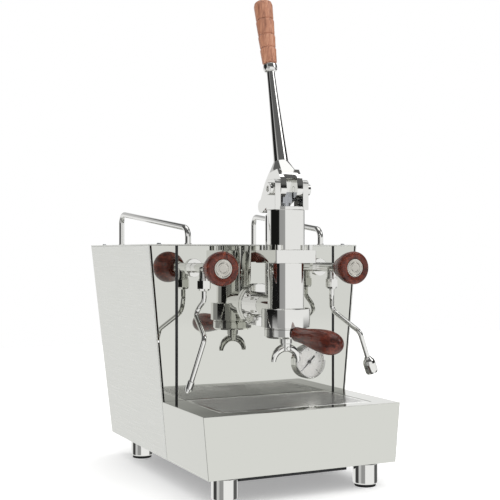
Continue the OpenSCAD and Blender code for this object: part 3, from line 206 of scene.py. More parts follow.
def put(name, points, faces, finish, smooth=True, sharp=30):
    """Makes a mesh object from arrays of points in metres and of faces. Doubled points
    are merged and faces turned outwards; edges sharper than sharp degrees stay sharp."""
    mesh = bpy.data.meshes.new(name)
    mesh.from_pydata(np.asarray(points).tolist(), [], np.asarray(faces).tolist())
    work = bmesh.new()
    work.from_mesh(mesh)
    bmesh.ops.remove_doubles(work, verts=work.verts, dist=1e-6)
    bmesh.ops.dissolve_degenerate(work, edges=work.edges, dist=1e-7)
    bmesh.ops.recalc_face_normals(work, faces=work.faces)
    work.to_mesh(mesh)
    work.free()
    mesh.polygons.foreach_set("use_smooth", np.full(len(mesh.polygons), smooth))
    mesh.set_sharp_from_angle(angle=math.radians(sharp))
    mesh.materials.append(finish)
    piece = bpy.data.objects.new(name, mesh)
    scene.collection.objects.link(piece)
    return piece


# seamless studio paper, matt and nearly white, with a very faint fibre mottle
paper, tree, shader, place = material("seamless_paper", {
    "Roughness": 0.9, "Emission Color": (1, 1, 1, 1), "Emission Strength": 0.32})
mottle = add(tree, "ShaderNodeTexNoise", {"Vector": place, "Scale": 40, "Detail": 3})
tone = add(tree, "ShaderNodeValToRGB", {0: mottle.outputs[0]})
set_ramp(tone, [(0.0, linear("#f7f7f6")), (1.0, linear("#fafaf9"))])
feed(shader, {"Base Color": tone})

floor_half = 2.4
corners = np.array([[-1, -1], [1, -1], [1, 1], [-1, 1]]) * floor_half
floor = put("floor", np.column_stack([corners, np.zeros(4)]), [[0, 1, 2, 3]], paper)
# metal shows the cards instead of the paper, as it would in a cove lit from below
floor.visible_glossy = False


# --- Base cover ---
# The low front of the machine is one folded sheet of mirror-polished stainless steel.
# Its front and sides wrap down round the chassis, and its top is cut out for the tray.

def refined(node, name, edge, finish, body, sharp=32):
    """Stands for a CAD node with a copy of its own mesh: the triangles are joined into
    whole faces, and every edge sharper than sharp degrees is rounded by edge mm."""
    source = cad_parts[node].data
    points = np.empty(len(source.vertices) * 3, np.float32)
    source.vertices.foreach_get("co", points)
    faces = np.empty(len(source.loops), np.int32)
    source.loops.foreach_get("vertex_index", faces)
    mesh = bpy.data.meshes.new(name)
    mesh.from_pydata(points.reshape(-1, 3).tolist(), [], faces.reshape(-1, 3).tolist())
    work = bmesh.new()
    work.from_mesh(mesh)
    bmesh.ops.remove_doubles(work, verts=work.verts, dist=2e-6)
    bmesh.ops.dissolve_degenerate(work, edges=work.edges, dist=1e-6)
    bmesh.ops.dissolve_limit(work, angle_limit=math.radians(0.6),
                             verts=work.verts, edges=work.edges)
    work.to_mesh(mesh)
    work.free()
    mesh.polygons.foreach_set("use_smooth", np.full(len(mesh.polygons), True))
    mesh.set_sharp_from_angle(angle=math.radians(sharp))
    mesh.materials.append(finish)
    piece = bpy.data.objects.new(name, mesh)
    scene.collection.objects.link(piece)
    if edge:
        rounding = piece.modifiers.new("rounded edges", "BEVEL")
        rounding.width = edge * MM
        rounding.segments = 2
        rounding.limit_method = "ANGLE"
        rounding.angle_limit = math.radians(sharp)
        rounding.harden_normals = True
    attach(piece, body)
    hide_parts(node)
    return piece


# Mirror-polished stainless steel: buffed sheet, so it reflects clearly, with a slight
# haze in patches and a long soft waviness that bends straight reflections.
mirror_steel, tree, shader, place = material("mirror_polished_stainless", {
    "Base Color": linear("#d4d5cf"), "Metallic": 1.0})
haze = add(tree, "ShaderNodeTexNoise", {"Vector": place, "Scale": 14, "Detail": 4})
gloss = add(tree, "ShaderNodeMapRange", {0: haze.outputs[0], 1: 0.3, 2: 0.75,
                                         3: 0.008, 4: 0.03})
wave = add(tree, "ShaderNodeTexNoise", {"Vector": place, "Scale": 7, "Detail": 1})
bump = add(tree, "ShaderNodeBump", {"Height": wave.outputs[0], "Strength": 0.3,
                                    "Distance": 0.001})
feed(shader, {"Roughness": gloss, "Normal": bump})

refined("base_cover", "base_shell", 1.0, mirror_steel, "machine")


# --- Housing side and rear panels ---
# Flat stainless sheets that lean outwards, ground to a fine satin along their length
# and screwed to the chassis at the back.

# Satin stainless steel: grit lines 0.6 mm apart, drawn coarser than the real 0.1 mm
# so that they show, 60 mm long, which stretch reflections and soften them.
satin_steel, tree, shader, place = material("satin_stainless", {
    "Base Color": linear("#dedfda"), "Metallic": 1.0})
lines = add(tree, "ShaderNodeMapping", {"Vector": place, "Scale": (600, 16, 1600)})
grit = add(tree, "ShaderNodeTexNoise", {"Vector": lines.outputs[0], "Scale": 1.0,
                                        "Detail": 3})
gloss = add(tree, "ShaderNodeMapRange", {0: grit.outputs[0], 1: 0.3, 2: 0.7,
                                         3: 0.26, 4: 0.34})
bump = add(tree, "ShaderNodeBump", {"Height": grit.outputs[0], "Strength": 0.06,
                                    "Distance": 0.0002})
feed(shader, {"Roughness": gloss, "Normal": bump})

refined("side_panel_left", "side_sheet_left", 0.6, satin_steel, "machine")
refined("side_panel_right", "side_sheet_right", 0.6, satin_steel, "machine")
refined("rear_panel", "rear_sheet", 0.3, satin_steel, "machine")
refined("top_frame", "deck", 0.5, satin_steel, "machine")


# --- Splash panel and corner strips ---
# The upright sheet behind the group and a narrow strip at each corner, all mirror
# polished, with a dark seam between them.

refined("front_panel", "splash_panel", 0.4, mirror_steel, "machine")
refined("front_strips", "corner_strips", 0.4, mirror_steel, "machine")


# --- Cup rails ---
# Two bent chromed tubes beside the cup tray, lower in front than behind, each with a
# thin collar where its two posts meet the deck.

# Chrome plate: nickel-chrome over polished metal, almost a clear mirror, with the
# faintest uneven gloss from wiping.
chrome, tree, shader, place = material("chrome_plate", {
    "Base Color": linear("#e6e6e3"), "Metallic": 1.0})
wiped = add(tree, "ShaderNodeTexNoise", {"Vector": place, "Scale": 45, "Detail": 3})
gloss = add(tree, "ShaderNodeMapRange", {0: wiped.outputs[0], 1: 0.35, 2: 0.75,
                                         3: 0.02, 4: 0.06})
bump = add(tree, "ShaderNodeBump", {"Height": wiped.outputs[0], "Strength": 0.04,
                                    "Distance": 0.0003})
feed(shader, {"Roughness": gloss, "Normal": bump})


def rounded_path(points, bend, steps=9):
    """The points of a path in mm with each inner corner replaced by a circular arc of
    radius bend: the arc's centre lies on the corner's bisector, and its points turn
    evenly from one leg to the other."""
    p = np.asarray(points, float)
    arcs = [p[:1]]
    for a, b, c in zip(p[:-2], p[1:-1], p[2:]):
        u, w = (a - b) / np.linalg.norm(a - b), (c - b) / np.linalg.norm(c - b)
        half = math.acos(np.clip(u @ w, -1, 1)) / 2
        middle = b + (u + w) / np.linalg.norm(u + w) * bend / math.sin(half)
        start = b + u * bend / math.tan(half) - middle
        finish_leg = b + w * bend / math.tan(half) - middle
        turn = math.pi - 2 * half
        t = np.linspace(0, 1, steps)[:, None]
        arcs.append(middle + (np.sin((1 - t) * turn) * start
                              + np.sin(t * turn) * finish_leg) / math.sin(turn))
    return np.vstack([*arcs, p[-1:]])


def swept(path, radius, reference, sides=28):
    """Points and faces of a round tube. Each ring is the path point plus radius times
    (n cos a + b sin a), where n is the tangent crossed with the reference direction
    and b the tangent crossed with n. Both ends close on the path's own end points."""
    path = np.asarray(path, float)
    tangent = np.gradient(path, axis=0)
    tangent /= np.linalg.norm(tangent, axis=1)[:, None]
    n = np.cross(tangent, reference)
    n /= np.linalg.norm(n, axis=1)[:, None]
    b = np.cross(tangent, n)
    a = np.linspace(0, 2 * math.pi, sides, endpoint=False)[None, :, None]
    rings = path[:, None] + radius * (n[:, None] * np.cos(a) + b[:, None] * np.sin(a))
    ends = [np.repeat(path[i][None, None], sides, 1) for i in (0, -1)]
    return skin(np.concatenate([ends[0], rings, ends[1]]))


def skin(rings):
    """Points and quads of a surface whose rings, each with the same number of points,
    are joined to the next: quad (i, j) runs to ring i + 1 and round to point j + 1."""
    count, sides = rings.shape[:2]
    i, j = np.meshgrid(np.arange(count - 1), np.arange(sides), indexing="ij")
    k = (j + 1) % sides
    quads = np.stack([i * sides + j, (i + 1) * sides + j,
                      (i + 1) * sides + k, i * sides + k], -1).reshape(-1, 4)
    return rings.reshape(-1, 3), quads


def joined(parts):
    """Several (points, faces) pairs as one pair."""
    starts = np.cumsum([0] + [len(points) for points, _ in parts[:-1]])
    return (np.vstack([points for points, _ in parts]),
            np.vstack([np.asarray(faces) + start for (_, faces), start in zip(parts, starts)]))


def turned(profile, centre, axis=(0, 0, 1), sides=72):
    """Points and faces of a turned shape. A profile row (r, d) becomes the circle
    centre + d axis + r (u cos a + w sin a), with u and w square to the axis, in mm."""
    axis = np.asarray(axis, float) / np.linalg.norm(axis)
    side = np.cross(axis, (0, 0, 1) if abs(axis[2]) < 0.9 else (1, 0, 0))
    side /= np.linalg.norm(side)
    other = np.cross(axis, side)
    profile = np.asarray(profile, float)
    a = np.linspace(0, 2 * math.pi, sides, endpoint=False)[None, :, None]
    r, d = profile[:, 0][:, None, None], profile[:, 1][:, None, None]
    return skin(np.asarray(centre, float) + d * axis
                + r * (side * np.cos(a) + other * np.sin(a)))


def eased(profile, radius, steps=4):
    """A profile with each inner corner p eased by a parabola from a to c, the points
    radius before and after it: (1-t)^2 a + 2 t (1-t) p + t^2 c. One more point a little
    further out on each side keeps the flat walls between corners flat in their shading."""
    p = np.asarray(profile, float)
    back, on = p[:-2] - p[1:-1], p[2:] - p[1:-1]
    back_l = np.maximum(np.linalg.norm(back, axis=1), 1e-9)[:, None]
    on_l = np.maximum(np.linalg.norm(on, axis=1), 1e-9)[:, None]
    a = p[1:-1] + back * np.minimum(radius / back_l, 0.45)
    c = p[1:-1] + on * np.minimum(radius / on_l, 0.45)
    t = np.linspace(0, 1, steps)[None, :, None]
    arcs = (1 - t) ** 2 * a[:, None] + 2 * t * (1 - t) * p[1:-1][:, None] + t ** 2 * c[:, None]
    hold_a = p[1:-1] + back * np.minimum(1.3 * radius / back_l, 0.49)
    hold_c = p[1:-1] + on * np.minimum(1.3 * radius / on_l, 0.49)
    arcs = np.concatenate([hold_a[:, None], arcs, hold_c[:, None]], 1)
    return np.vstack([p[:1], arcs.reshape(-1, 2), p[-1:]])


def place_piece(name, shape, finish, body, nodes, sharp=30):
    """Puts a piece given in mm into the scene, on its body, in place of its nodes."""
    points, faces = shape
    piece = put(name, points * MM, faces, finish, sharp=sharp)
    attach(piece, body)
    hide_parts(*nodes)
    return piece


deck_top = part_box("top_frame")[1].z / MM
panel_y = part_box("front_panel")[0].y / MM
rail_r = 5
rail_front = (125, panel_y + 6, 26.5)
rail_rear = (140, panel_y + 305, 60)
rails = []
for side in (-1, 1):
    front = np.array([side * rail_front[0], rail_front[1], deck_top])
    rear = np.array([side * rail_rear[0], rail_rear[1], deck_top])
    path = rounded_path([front, front + (0, 0, rail_front[2]),
                         rear + (0, 0, rail_rear[2]), rear], 16)
    rails.append(swept(path, rail_r, (1, 0, 0)))
    collar = eased([[0, 0], [rail_r + 1, 0], [rail_r + 1, 2], [0, 2]], 0.6)
    rails += [turned(collar, foot) for foot in (front, rear)]
place_piece("cup_rail_tubes", joined(rails), chrome, "machine", ["cup_rails"])


# --- Feet and pads ---
# Four turned and chromed steel feet on studs through the chassis floor, each with a
# moulded rubber pad let into its underside.

# Moulded rubber: dull black, with a fine grain and slightly paler worn patches.
pad_rubber, tree, shader, place = material("moulded_rubber", {"Roughness": 0.75,
                                                       "Specular IOR Level": 0.3})
grain = add(tree, "ShaderNodeTexNoise", {"Vector": place, "Scale": 900, "Detail": 2})
wear = add(tree, "ShaderNodeTexNoise", {"Vector": place, "Scale": 60, "Detail": 3})
tone = add(tree, "ShaderNodeValToRGB", {0: wear.outputs[0]})
set_ramp(tone, [(0.3, linear("#151515")), (0.8, linear("#2b2b2a"))])
bump = add(tree, "ShaderNodeBump", {"Height": grain.outputs[0], "Strength": 0.3,
                                    "Distance": 0.0003})
feed(shader, {"Base Color": tone, "Normal": bump})

low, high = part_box("feet")
foot_r = 20
foot_top = 40
pad_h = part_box("foot_pads")[1].z / MM
foot_x = high.x / MM - foot_r
foot_ys = (low.y / MM + foot_r, high.y / MM - foot_r)
foot_profile = eased([[0, pad_h], [foot_r - 2, pad_h], [foot_r, pad_h + 2],
                      [foot_r, foot_top - 3], [foot_r - 3, foot_top], [0, foot_top]], 1.2)
pad_profile = eased([[0, 0], [foot_r - 3, 0], [foot_r - 2.5, pad_h], [0, pad_h]], 0.8)
spots = [(x, y, 0) for x in (-foot_x, foot_x) for y in foot_ys]
place_piece("chrome_feet", joined([turned(foot_profile, spot) for spot in spots]),
            chrome, "machine", ["feet"])
place_piece("rubber_pads", joined([turned(pad_profile, spot) for spot in spots]),
            pad_rubber, "machine", ["foot_pads"])


# --- Group ---
# A brass casting and turned steel tubes, all chromed: the bell that takes the
# portafilter, the lower cylinder, a square flange, the spring housing and the yoke.

refined("cylinder_flange", "square_flange", 1.2, chrome, "machine")
refined("lever_yoke", "yoke", 1.0, chrome, "machine")
refined("stop_post", "rest_column", 0.4, chrome, "machine")
refined("fulcrum_pins", "pivot_pins", 0.7, chrome, "machine")
refined("group_bolts", "cap_screws", 0.4, chrome, "machine")


def tube_profile(node, edge, wall):
    """The closed profile of a turned tube that fills a node's box, with a wall in mm."""
    low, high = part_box(node)
    r, h = (high.x - low.x) / 2 / MM, (high.z - low.z) / MM
    outline = [[r - wall, h / 2], [r - wall, 0], [r, 0], [r, h], [r - wall, h],
               [r - wall, h / 2]]
    middle = (low + high) / 2 / MM
    return eased(outline, edge), [middle.x, middle.y, low.z / MM]


def neck(centre, radius, seat, seat_low, split, length):
    """A tube from the bell back to the housing. A point at angle a lies at x = radius
    cos a and z = centre z + radius sin a, and starts where it meets an upright cylinder:
    at y = sqrt(seat^2 - x^2), or with seat_low instead of seat where z is below split."""
    a = np.linspace(0, 2 * math.pi, 96, endpoint=False)
    x, z = radius * np.cos(a), centre[2] + radius * np.sin(a)
    start = np.sqrt(np.where(z < split, seat_low, seat) ** 2 - x ** 2)
    near = np.column_stack([x, centre[1] + start, z])
    far = np.column_stack([x, np.full_like(x, centre[1] + length), z])
    ends = [np.tile([0, centre[1] + y, centre[2]], (len(a), 1)) for y in (seat, length)]
    return skin(np.stack([ends[0], near, far, ends[1]]))


bell_r, bell_h, socket_r, bore_r = 39, 30, 34.6, 25
bell_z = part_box("lower_cylinder")[0].z / MM - bell_h
group_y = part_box("spring_housing")[0].y / MM + 30
neck_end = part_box("group_head")[1].y / MM
bell = eased([[socket_r, 14], [37.2, 11.9], [37.2, 0], [bell_r, 0], [bell_r, bell_h],
              [bore_r, bell_h], [bore_r, 16], [socket_r, 16],
              [socket_r, 14]], 0.8)
neck_z, neck_r = bell_z + bell_h + 1, 22
neck_seat, rim_seat, rim_h = 27, 37.8, 17
plate = eased([[20, 0], [36, 0], [36, 10], [20, 10], [20, 0]], 0.8)
place_piece("group_bell", joined([
    turned(bell, [0, group_y, bell_z], sides=96),
    neck([0, group_y, neck_z], neck_r, neck_seat, rim_seat, bell_z + rim_h, neck_end - group_y),
    turned(plate, [0, panel_y - 10, neck_z], (0, 1, 0))]), chrome,
    "machine", ["group_head"])

profile, centre = tube_profile("lower_cylinder", 0.6, 4)
place_piece("lower_tube", turned(profile, centre, sides=96), chrome,
            "machine", ["lower_cylinder"])

low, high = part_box("spring_housing")
spring_r = (high.x - low.x) / 2 / MM
spring_h = (high.z - low.z) / MM
cap_t, bore_r, rod_hole = 6, 25, 7.05
profile = eased([[bore_r, 10], [bore_r, 0], [spring_r, 0], [spring_r, spring_h - 0.01],
                 [rod_hole, spring_h - 0.01], [rod_hole, spring_h - cap_t],
                 [bore_r, spring_h - cap_t], [bore_r, 10]], 0.6)
centre = [0, (low.y + high.y) / 2 / MM, low.z / MM]
place_piece("spring_tube", turned(profile, centre, sides=96), chrome,
            "machine", ["spring_housing"])


# --- Lever ---
# A forged fork carries the tapered shaft, both polished and chromed. The grip is
# turned walnut in four steps, screwed on against the shaft's collar.

refined("lever_fork", "fork", 1.2, chrome, "lever")

low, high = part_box("fulcrum_pins")
fulcrum = np.array([0, (low.y + high.y) / 2 / MM, (low.z + high.z) / 2 / MM])
lean = math.radians(13.6)
lever_axis = np.array([0, math.sin(lean), math.cos(lean)])
lever_root = fulcrum + (0, 14, 0)  # the shaft's axis passes behind the pins
root_s, collar_s, grip_from, grip_l = 45, 204, 217, 112
root_r, end_r, grip_r = 12, 6.5, 15.75

t = np.linspace(0, 1, 24)[:, None]
taper = np.hstack([end_r + (root_r - end_r) * (1 - t) ** 1.25,
                   root_s + 2 + (collar_s - root_s - 2) * t])
collar = eased([[end_r, collar_s - 1], [end_r + 3.2, collar_s], [end_r + 5, collar_s + 3],
                [end_r + 5, grip_from - 2.5], [end_r + 3, grip_from], [0, grip_from]], 1.0)
shaft = np.vstack([[[0, root_s + 2]], taper[:-1], collar])
place_piece("lever_rod", turned(shaft, lever_root, lever_axis), chrome,
            "lever", ["lever_shaft"])

# Oiled walnut: open grain that runs up the lever, with pores 0.5 mm wide, drawn
# coarser than real so that they show.
grip_wood, tree, shader, place = material("oiled_walnut", {"Specular IOR Level": 0.4,
                                                    "Coat Weight": 0.25,
                                                    "Coat Roughness": 0.35})
along = add(tree, "ShaderNodeMapping", {"Vector": place, "Rotation": (lean, 0, 0),
                                        "Scale": (420, 420, 26)})
fibre = add(tree, "ShaderNodeTexNoise", {"Vector": along.outputs[0], "Scale": 1.0,
                                         "Detail": 5, "Roughness": 0.65})
figure = add(tree, "ShaderNodeTexNoise", {"Vector": along.outputs[0], "Scale": 0.12,
                                          "Detail": 2, "Distortion": 0.6})
grainy = add(tree, "ShaderNodeMix", {0: 0.45, 2: fibre.outputs[0], 3: figure.outputs[0]})
tone = add(tree, "ShaderNodeValToRGB", {0: grainy.outputs[0]})
set_ramp(tone, [(0.34, linear("#7e4e3a")), (0.5, linear("#bc8266")),
                (0.66, linear("#dcab8b"))])
gloss = add(tree, "ShaderNodeMapRange", {0: fibre.outputs[0], 3: 0.6, 4: 0.4})
bump = add(tree, "ShaderNodeBump", {"Height": fibre.outputs[0], "Strength": 0.35,
                                    "Distance": 0.0004})
feed(shader, {"Base Color": tone, "Roughness": gloss, "Normal": bump})

grip = [[0, grip_from]]
z = grip_from
for i, share in enumerate((0.239, 0.204, 0.245, 0.312)):
    r = grip_r - 3.5 + 3.5 * i / 4
    step_l = grip_l * share
    grip += [[r - 2.0, z], [r - 2.0, z + 0.7], [r - 0.2, z + 1.9], [r + 0.6, z + step_l * 0.6],
             [r + 1.2, z + step_l - 2.5]]
    if i < 3:
        grip.append([r + 0.3, z + step_l - 0.4])
    z += step_l
top = grip_from + grip_l
grip = grip[:-1] + [[grip_r, top - 9], [grip_r - 1.5, top - 3.2], [grip_r - 5, top - 0.7],
                    [0, top]]
place_piece("walnut_grip", turned(eased(grip, 1.0, 3), lever_root, lever_axis), grip_wood,
            "lever", ["lever_grip"])


# --- Portafilter ---
# A chromed brass ring and cup with lugs, a cast double spout screwed under it, and a
# turned hardwood handle behind a small chromed ferrule.

refined("portafilter_body", "portafilter_cup", 0.7, chrome, "portafilter")


def crescent(centre, bend, middle_r, tip_r, bore, sides=28):
    """A bent pipe in the plane y = centre y, from the tip at 0 degrees over the top to
    the tip at 180. The ring at angle t has the point (bend + r cos b) (cos t, 0, sin t)
    + r sin b (0, 1, 0) at each b, with r = tip_r + (middle_r - tip_r) sin t. At each tip
    three more rings of radius bore turn back inside and close the pipe's dark bore."""
    run = np.linspace(0, 180, 49)
    t = np.radians(np.concatenate([[14, 14, 0], run, [180, 166, 166]]))[:, None]
    r = np.concatenate([[0, bore, bore], tip_r + (middle_r - tip_r) * np.sin(np.radians(run)),
                        [bore, bore, 0]])[:, None]
    b = np.linspace(0, 2 * math.pi, sides, endpoint=False)[None]
    far = bend + r * np.cos(b)
    return skin(np.stack([far * np.cos(t), r * np.sin(b), far * np.sin(t)], -1) + centre)


boss_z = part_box("portafilter_body")[0].z / MM
arch_z, spout_bend = boss_z - 7, 22
stem = eased([[4, 10], [4, 0], [9, 0], [9, boss_z - arch_z + 5], [4, boss_z - arch_z + 5],
              [4, 10]], 0.8)
screw = eased([[0, 0], [2.9, 0], [3.4, 0.8], [3.4, 7], [0, 7]], 0.4)
place_piece("spout", joined([
    crescent(np.array([0, group_y, arch_z - spout_bend]), spout_bend, 6.5, 3.8, 2.6),
    turned(stem, [0, group_y, arch_z - 5]),
    turned(screw, [0, group_y - 10.5, arch_z - 1], (0, 1, 0), 32)]), chrome,
    "portafilter", ["double_spout"])

droop = math.radians(3)
handle_axis = np.array([0, -math.cos(droop), -math.sin(droop)])
handle_root = np.array([0, group_y - 34.5, boss_z + 17])
profile = eased([[4.5, 1], [7.6, 1], [8.4, 1.8], [8.4, 5], [4.5, 5], [4.5, 1]], 0.3)
place_piece("handle_collar", turned(profile, handle_root, handle_axis), chrome,
            "portafilter", ["handle_ferrule"])

# Lacquered rosewood: deep red-brown under a clear hard coat, with dark streaks that
# run along the handle about 2 mm apart.
knob_wood, tree, shader, place = material("lacquered_rosewood", {
    "Roughness": 0.5, "Specular IOR Level": 0.25, "Coat Weight": 0.55,
    "Coat Roughness": 0.06, "Coat IOR": 1.45})
along = add(tree, "ShaderNodeMapping", {"Vector": place, "Scale": (460, 40, 460)})
fibre = add(tree, "ShaderNodeTexNoise", {"Vector": along.outputs[0], "Scale": 1.0,
                                         "Detail": 5, "Roughness": 0.6, "Distortion": 0.4})
figure = add(tree, "ShaderNodeTexNoise", {"Vector": along.outputs[0], "Scale": 0.15,
                                          "Detail": 2, "Distortion": 1.0})
grainy = add(tree, "ShaderNodeMix", {0: 0.5, 2: fibre.outputs[0], 3: figure.outputs[0]})
tone = add(tree, "ShaderNodeValToRGB", {0: grainy.outputs[0]})
set_ramp(tone, [(0.35, linear("#2c0c06")), (0.52, linear("#5c2213")),
                (0.68, linear("#8c4128"))])
bump = add(tree, "ShaderNodeBump", {"Height": fibre.outputs[0], "Strength": 0.12,
                                    "Distance": 0.0003})
feed(shader, {"Base Color": tone, "Normal": bump})

# the outline swells on a half cosine up to 0.72 of its length, then ends in a round nose
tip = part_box("portafilter_handle")[0].y / MM
start, handle_r, root_r = 5, 18, 11.5
handle_l = (handle_root[1] - tip) / math.cos(droop) - start
t = np.concatenate([np.linspace(0, 0.72, 26)[:-1],
                    0.72 + 0.28 * np.sin(np.linspace(0, math.pi / 2, 18))])
swell = root_r + (handle_r - root_r) * (1 - np.cos(math.pi * t / 0.72)) / 2
nose = handle_r * np.sqrt(np.maximum(0, 1 - np.maximum(0, (t - 0.72) / 0.28) ** 2.4))
profile = np.column_stack([np.where(t < 0.72, swell, nose), start + handle_l * t])
profile = np.vstack([[[0, start + 18], [4.5, start + 18], [4.5, start]], profile])
place_piece("rosewood_handle", turned(profile, handle_root, handle_axis),
            knob_wood, "portafilter", ["portafilter_handle"])


# --- Valves and their knobs ---
# Two chromed brass valve bodies through the splash panel, each with a six-sided
# bonnet, a nut over the wand's ball, and a turned hardwood knob with a metal face.

refined("valve_bodies", "valves", 0.5, chrome, "machine")
refined("outlet_nuts", "ball_nuts", 0.5, chrome, "machine")

# Brushed nickel: a pale face plate, brushed in a fine round pattern.
medallion, tree, shader, place = material("brushed_nickel", {"Metallic": 1.0,
                                                      "Base Color": linear("#cfccc4")})
fleck = add(tree, "ShaderNodeTexNoise", {"Vector": place, "Scale": 700, "Detail": 2})
gloss = add(tree, "ShaderNodeMapRange", {0: fleck.outputs[0], 3: 0.22, 4: 0.42})
bump = add(tree, "ShaderNodeBump", {"Height": fleck.outputs[0], "Strength": 0.15,
                                    "Distance": 0.0002})
feed(shader, {"Roughness": gloss, "Normal": bump})

knob_l = 46.5
for side, name in ((-1, "steam"), (1, "water")):
    low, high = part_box(name + "_knob")
    knob_x = (low.x + high.x) / 2 / MM
    knob_z = (low.z + high.z) / 2 / MM
    face_y = low.y / MM
    r = (high.x - low.x) / 2 / MM
    outline = [[5, 3], [15.5, 3], [15.5, 1.2], [r - 6, 0], [r - 3, 0.6], [r - 1, 2.2],
               [r, 5], [r, 10], [r - 0.6, 15], [r - 2, 21], [r - 4.2, 27], [r - 6.6, 33],
               [r - 8.6, 40], [r - 10, knob_l - 2.5], [r - 11.5, knob_l],
               [5, knob_l], [5, 3]]
    middle = [knob_x, face_y, knob_z]
    place_piece(name + "_wheel", turned(eased(outline, 1.6, 5), middle, (0, 1, 0)),
                knob_wood, name + "_control", [name + "_knob"], sharp=40)
    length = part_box(name + "_knob_core")[1].y / MM - face_y
    face = [[0, 2.2], [6, 2.2], [7, 1.7], [8.5, 1.7], [9.5, 2.4], [12, 2.4], [13, 1.7],
            [14.5, 1.65], [15, 2.2], [15, 3], [5, 3], [5, length], [0, length]]
    place_piece(name + "_medallion", turned(eased(face, 0.3, 3), middle, (0, 1, 0)),
                medallion, name + "_control", [name + "_knob_core"])


# --- Wands ---
# Bent chromed tubes that swivel on a ball in the valve nut. The steam wand ends in a
# small turned tip, and the hot water wand in a wider bell with a strainer inside.

ball_r, wand_r, valve_x = 6.5, 4, 118
steam_path = [[0, 0, 0], [0, 0, -20], [-9, 16, -41], [-22, -55, -75], [-41, -47, -141]]
water_path = [[0, 0, 0], [0, 0, -20], [-9, 16, -41], [-22, -55, -75], [-38, -53, -117]]
steam_tip = [[0, 0], [4.8, 0], [5.6, 1.5], [5.6, 13], [4, 18], [2, 20], [0, 20]]
water_bell = [[0, 0], [5, 0], [6.5, 3], [9.5, 7], [10.5, 12], [10.5, 26], [9.5, 29],
              [7.5, 29], [7.5, 15], [0, 15]]
low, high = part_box("steam_wand")
ball_y, ball_z = panel_y - 45, high.z / MM - ball_r
arc = np.linspace(0, math.pi, 25)
sphere = np.column_stack([ball_r * np.sin(arc), -ball_r * np.cos(arc)])
for side, name, path, tip_name, tip in (
        (-1, "steam", steam_path, "steam_tip", steam_tip),
        (1, "water", water_path, "water_outlet", water_bell)):
    flip = np.array([-side, 1, 1])
    centre = np.array([side * valve_x, ball_y, ball_z])
    points = np.array(path, float) * flip
    shape = joined([swept(rounded_path(centre + points, 12), wand_r, (1, 0, 0)),
                    turned(sphere, centre, sides=32)])
    place_piece(name + "_pipe", shape, chrome, name + "_arm", [name + "_wand"])
    end, way = centre + points[-1], points[-1] - points[-2]
    place_piece(name + "_nozzle", turned(eased(tip, 0.6, 3), end, way, 48), chrome,
                name + "_arm", [tip_name])


# --- Pressure gauge ---
# A chromed case let into the splash panel, a white enamelled dial with printed ticks,
# a black needle, and a flat glass under the bezel.

low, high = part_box("gauge_case")
gauge_x, gauge_z = (low.x + high.x) / 2 / MM, (low.z + high.z) / 2 / MM
bezel_y, back_y = low.y / MM, high.y / MM
r = (high.x - low.x) / 2 / MM
deep = 10
outline = [[0, deep], [r - 3.5, deep], [r - 3.5, 0.6], [r - 2.5, 0], [r - 0.8, 1], [r, 3],
           [r, 12], [r - 2, 12], [r - 2, back_y - bezel_y], [0, back_y - bezel_y]]
bezel = turned(eased(outline, 0.5), [gauge_x, bezel_y, gauge_z], (0, 1, 0), 96)
place_piece("gauge_bezel", bezel, chrome, "machine", ["gauge_case"])

# Enamelled dial: smooth warm white stoved paint, a little glossy, faintly mottled. It also has a
# faint painted glow (emission 0.12), painted light that brightens it beyond its lighting.
dial_enamel, tree, shader, place = material("stoved_enamel_painted_glow", {
    "Roughness": 0.3, "Emission Color": (1, 1, 1, 1), "Emission Strength": 0.12})
mottle = add(tree, "ShaderNodeTexNoise", {"Vector": place, "Scale": 120, "Detail": 2})
tone = add(tree, "ShaderNodeValToRGB", {0: mottle.outputs[0]})
set_ramp(tone, [(0.3, linear("#f1efe9")), (0.7, linear("#f8f7f3"))])
feed(shader, {"Base Color": tone})

# Screen-printed black ink: flat and slightly uneven in density.
needle_paint, tree, shader, place = material("black_ink", {"Roughness": 0.45})
density = add(tree, "ShaderNodeTexNoise", {"Vector": place, "Scale": 400, "Detail": 2})
tone = add(tree, "ShaderNodeValToRGB", {0: density.outputs[0]})
set_ramp(tone, [(0.3, linear("#0b0b0c")), (0.8, linear("#202022"))])
feed(shader, {"Base Color": tone})

dial_low, dial_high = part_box("gauge_dial")
dial_y, dial_r = dial_low.y / MM, (dial_high.x - dial_low.x) / 2 / MM
dial_t = (dial_high.y - dial_low.y) / MM
profile = [[1.05, 0], [dial_r, 0], [dial_r, dial_t], [1.05, dial_t], [1.05, 0]]
place_piece("dial_plate", turned(profile, [gauge_x, dial_y, gauge_z], (0, 1, 0)), dial_enamel,
            "machine", ["gauge_dial"])

# ticks over three quarters of the dial, every fifth one longer and wider
tick = np.arange(31)
angle = np.radians(-135 + 270 * tick / 30)
major = tick % 5 == 0
inner, outer = dial_r - np.where(major, 6, 3.6), np.full(31, dial_r - 1.6)
half = np.where(major, 0.45, 0.22)
out_x, out_z = np.sin(angle), np.cos(angle)
ends = np.array([[0, -1], [0, 1], [1, 1], [1, -1]])
reach = np.where(ends[:, 0][None] == 0, inner[:, None], outer[:, None])
across = ends[:, 1][None] * half[:, None]
tick_x = gauge_x + out_x[:, None] * reach + out_z[:, None] * across
tick_z = gauge_z + out_z[:, None] * reach - out_x[:, None] * across
flat = np.stack([tick_x, np.full_like(tick_x, dial_y - 0.15), tick_z], -1)
solid = np.stack([flat, flat + (0, 0.15, 0)], 1).reshape(-1, 3)
sides = np.array([[0, 1, 2, 3], [7, 6, 5, 4], [0, 4, 5, 1],
                  [1, 5, 6, 2], [2, 6, 7, 3], [3, 7, 4, 0]])
tick_faces = (sides[None] + 8 * tick[:, None, None]).reshape(-1, 4)
ticks = put("dial_ticks", solid * MM, tick_faces, needle_paint, smooth=False)
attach(ticks, "machine")

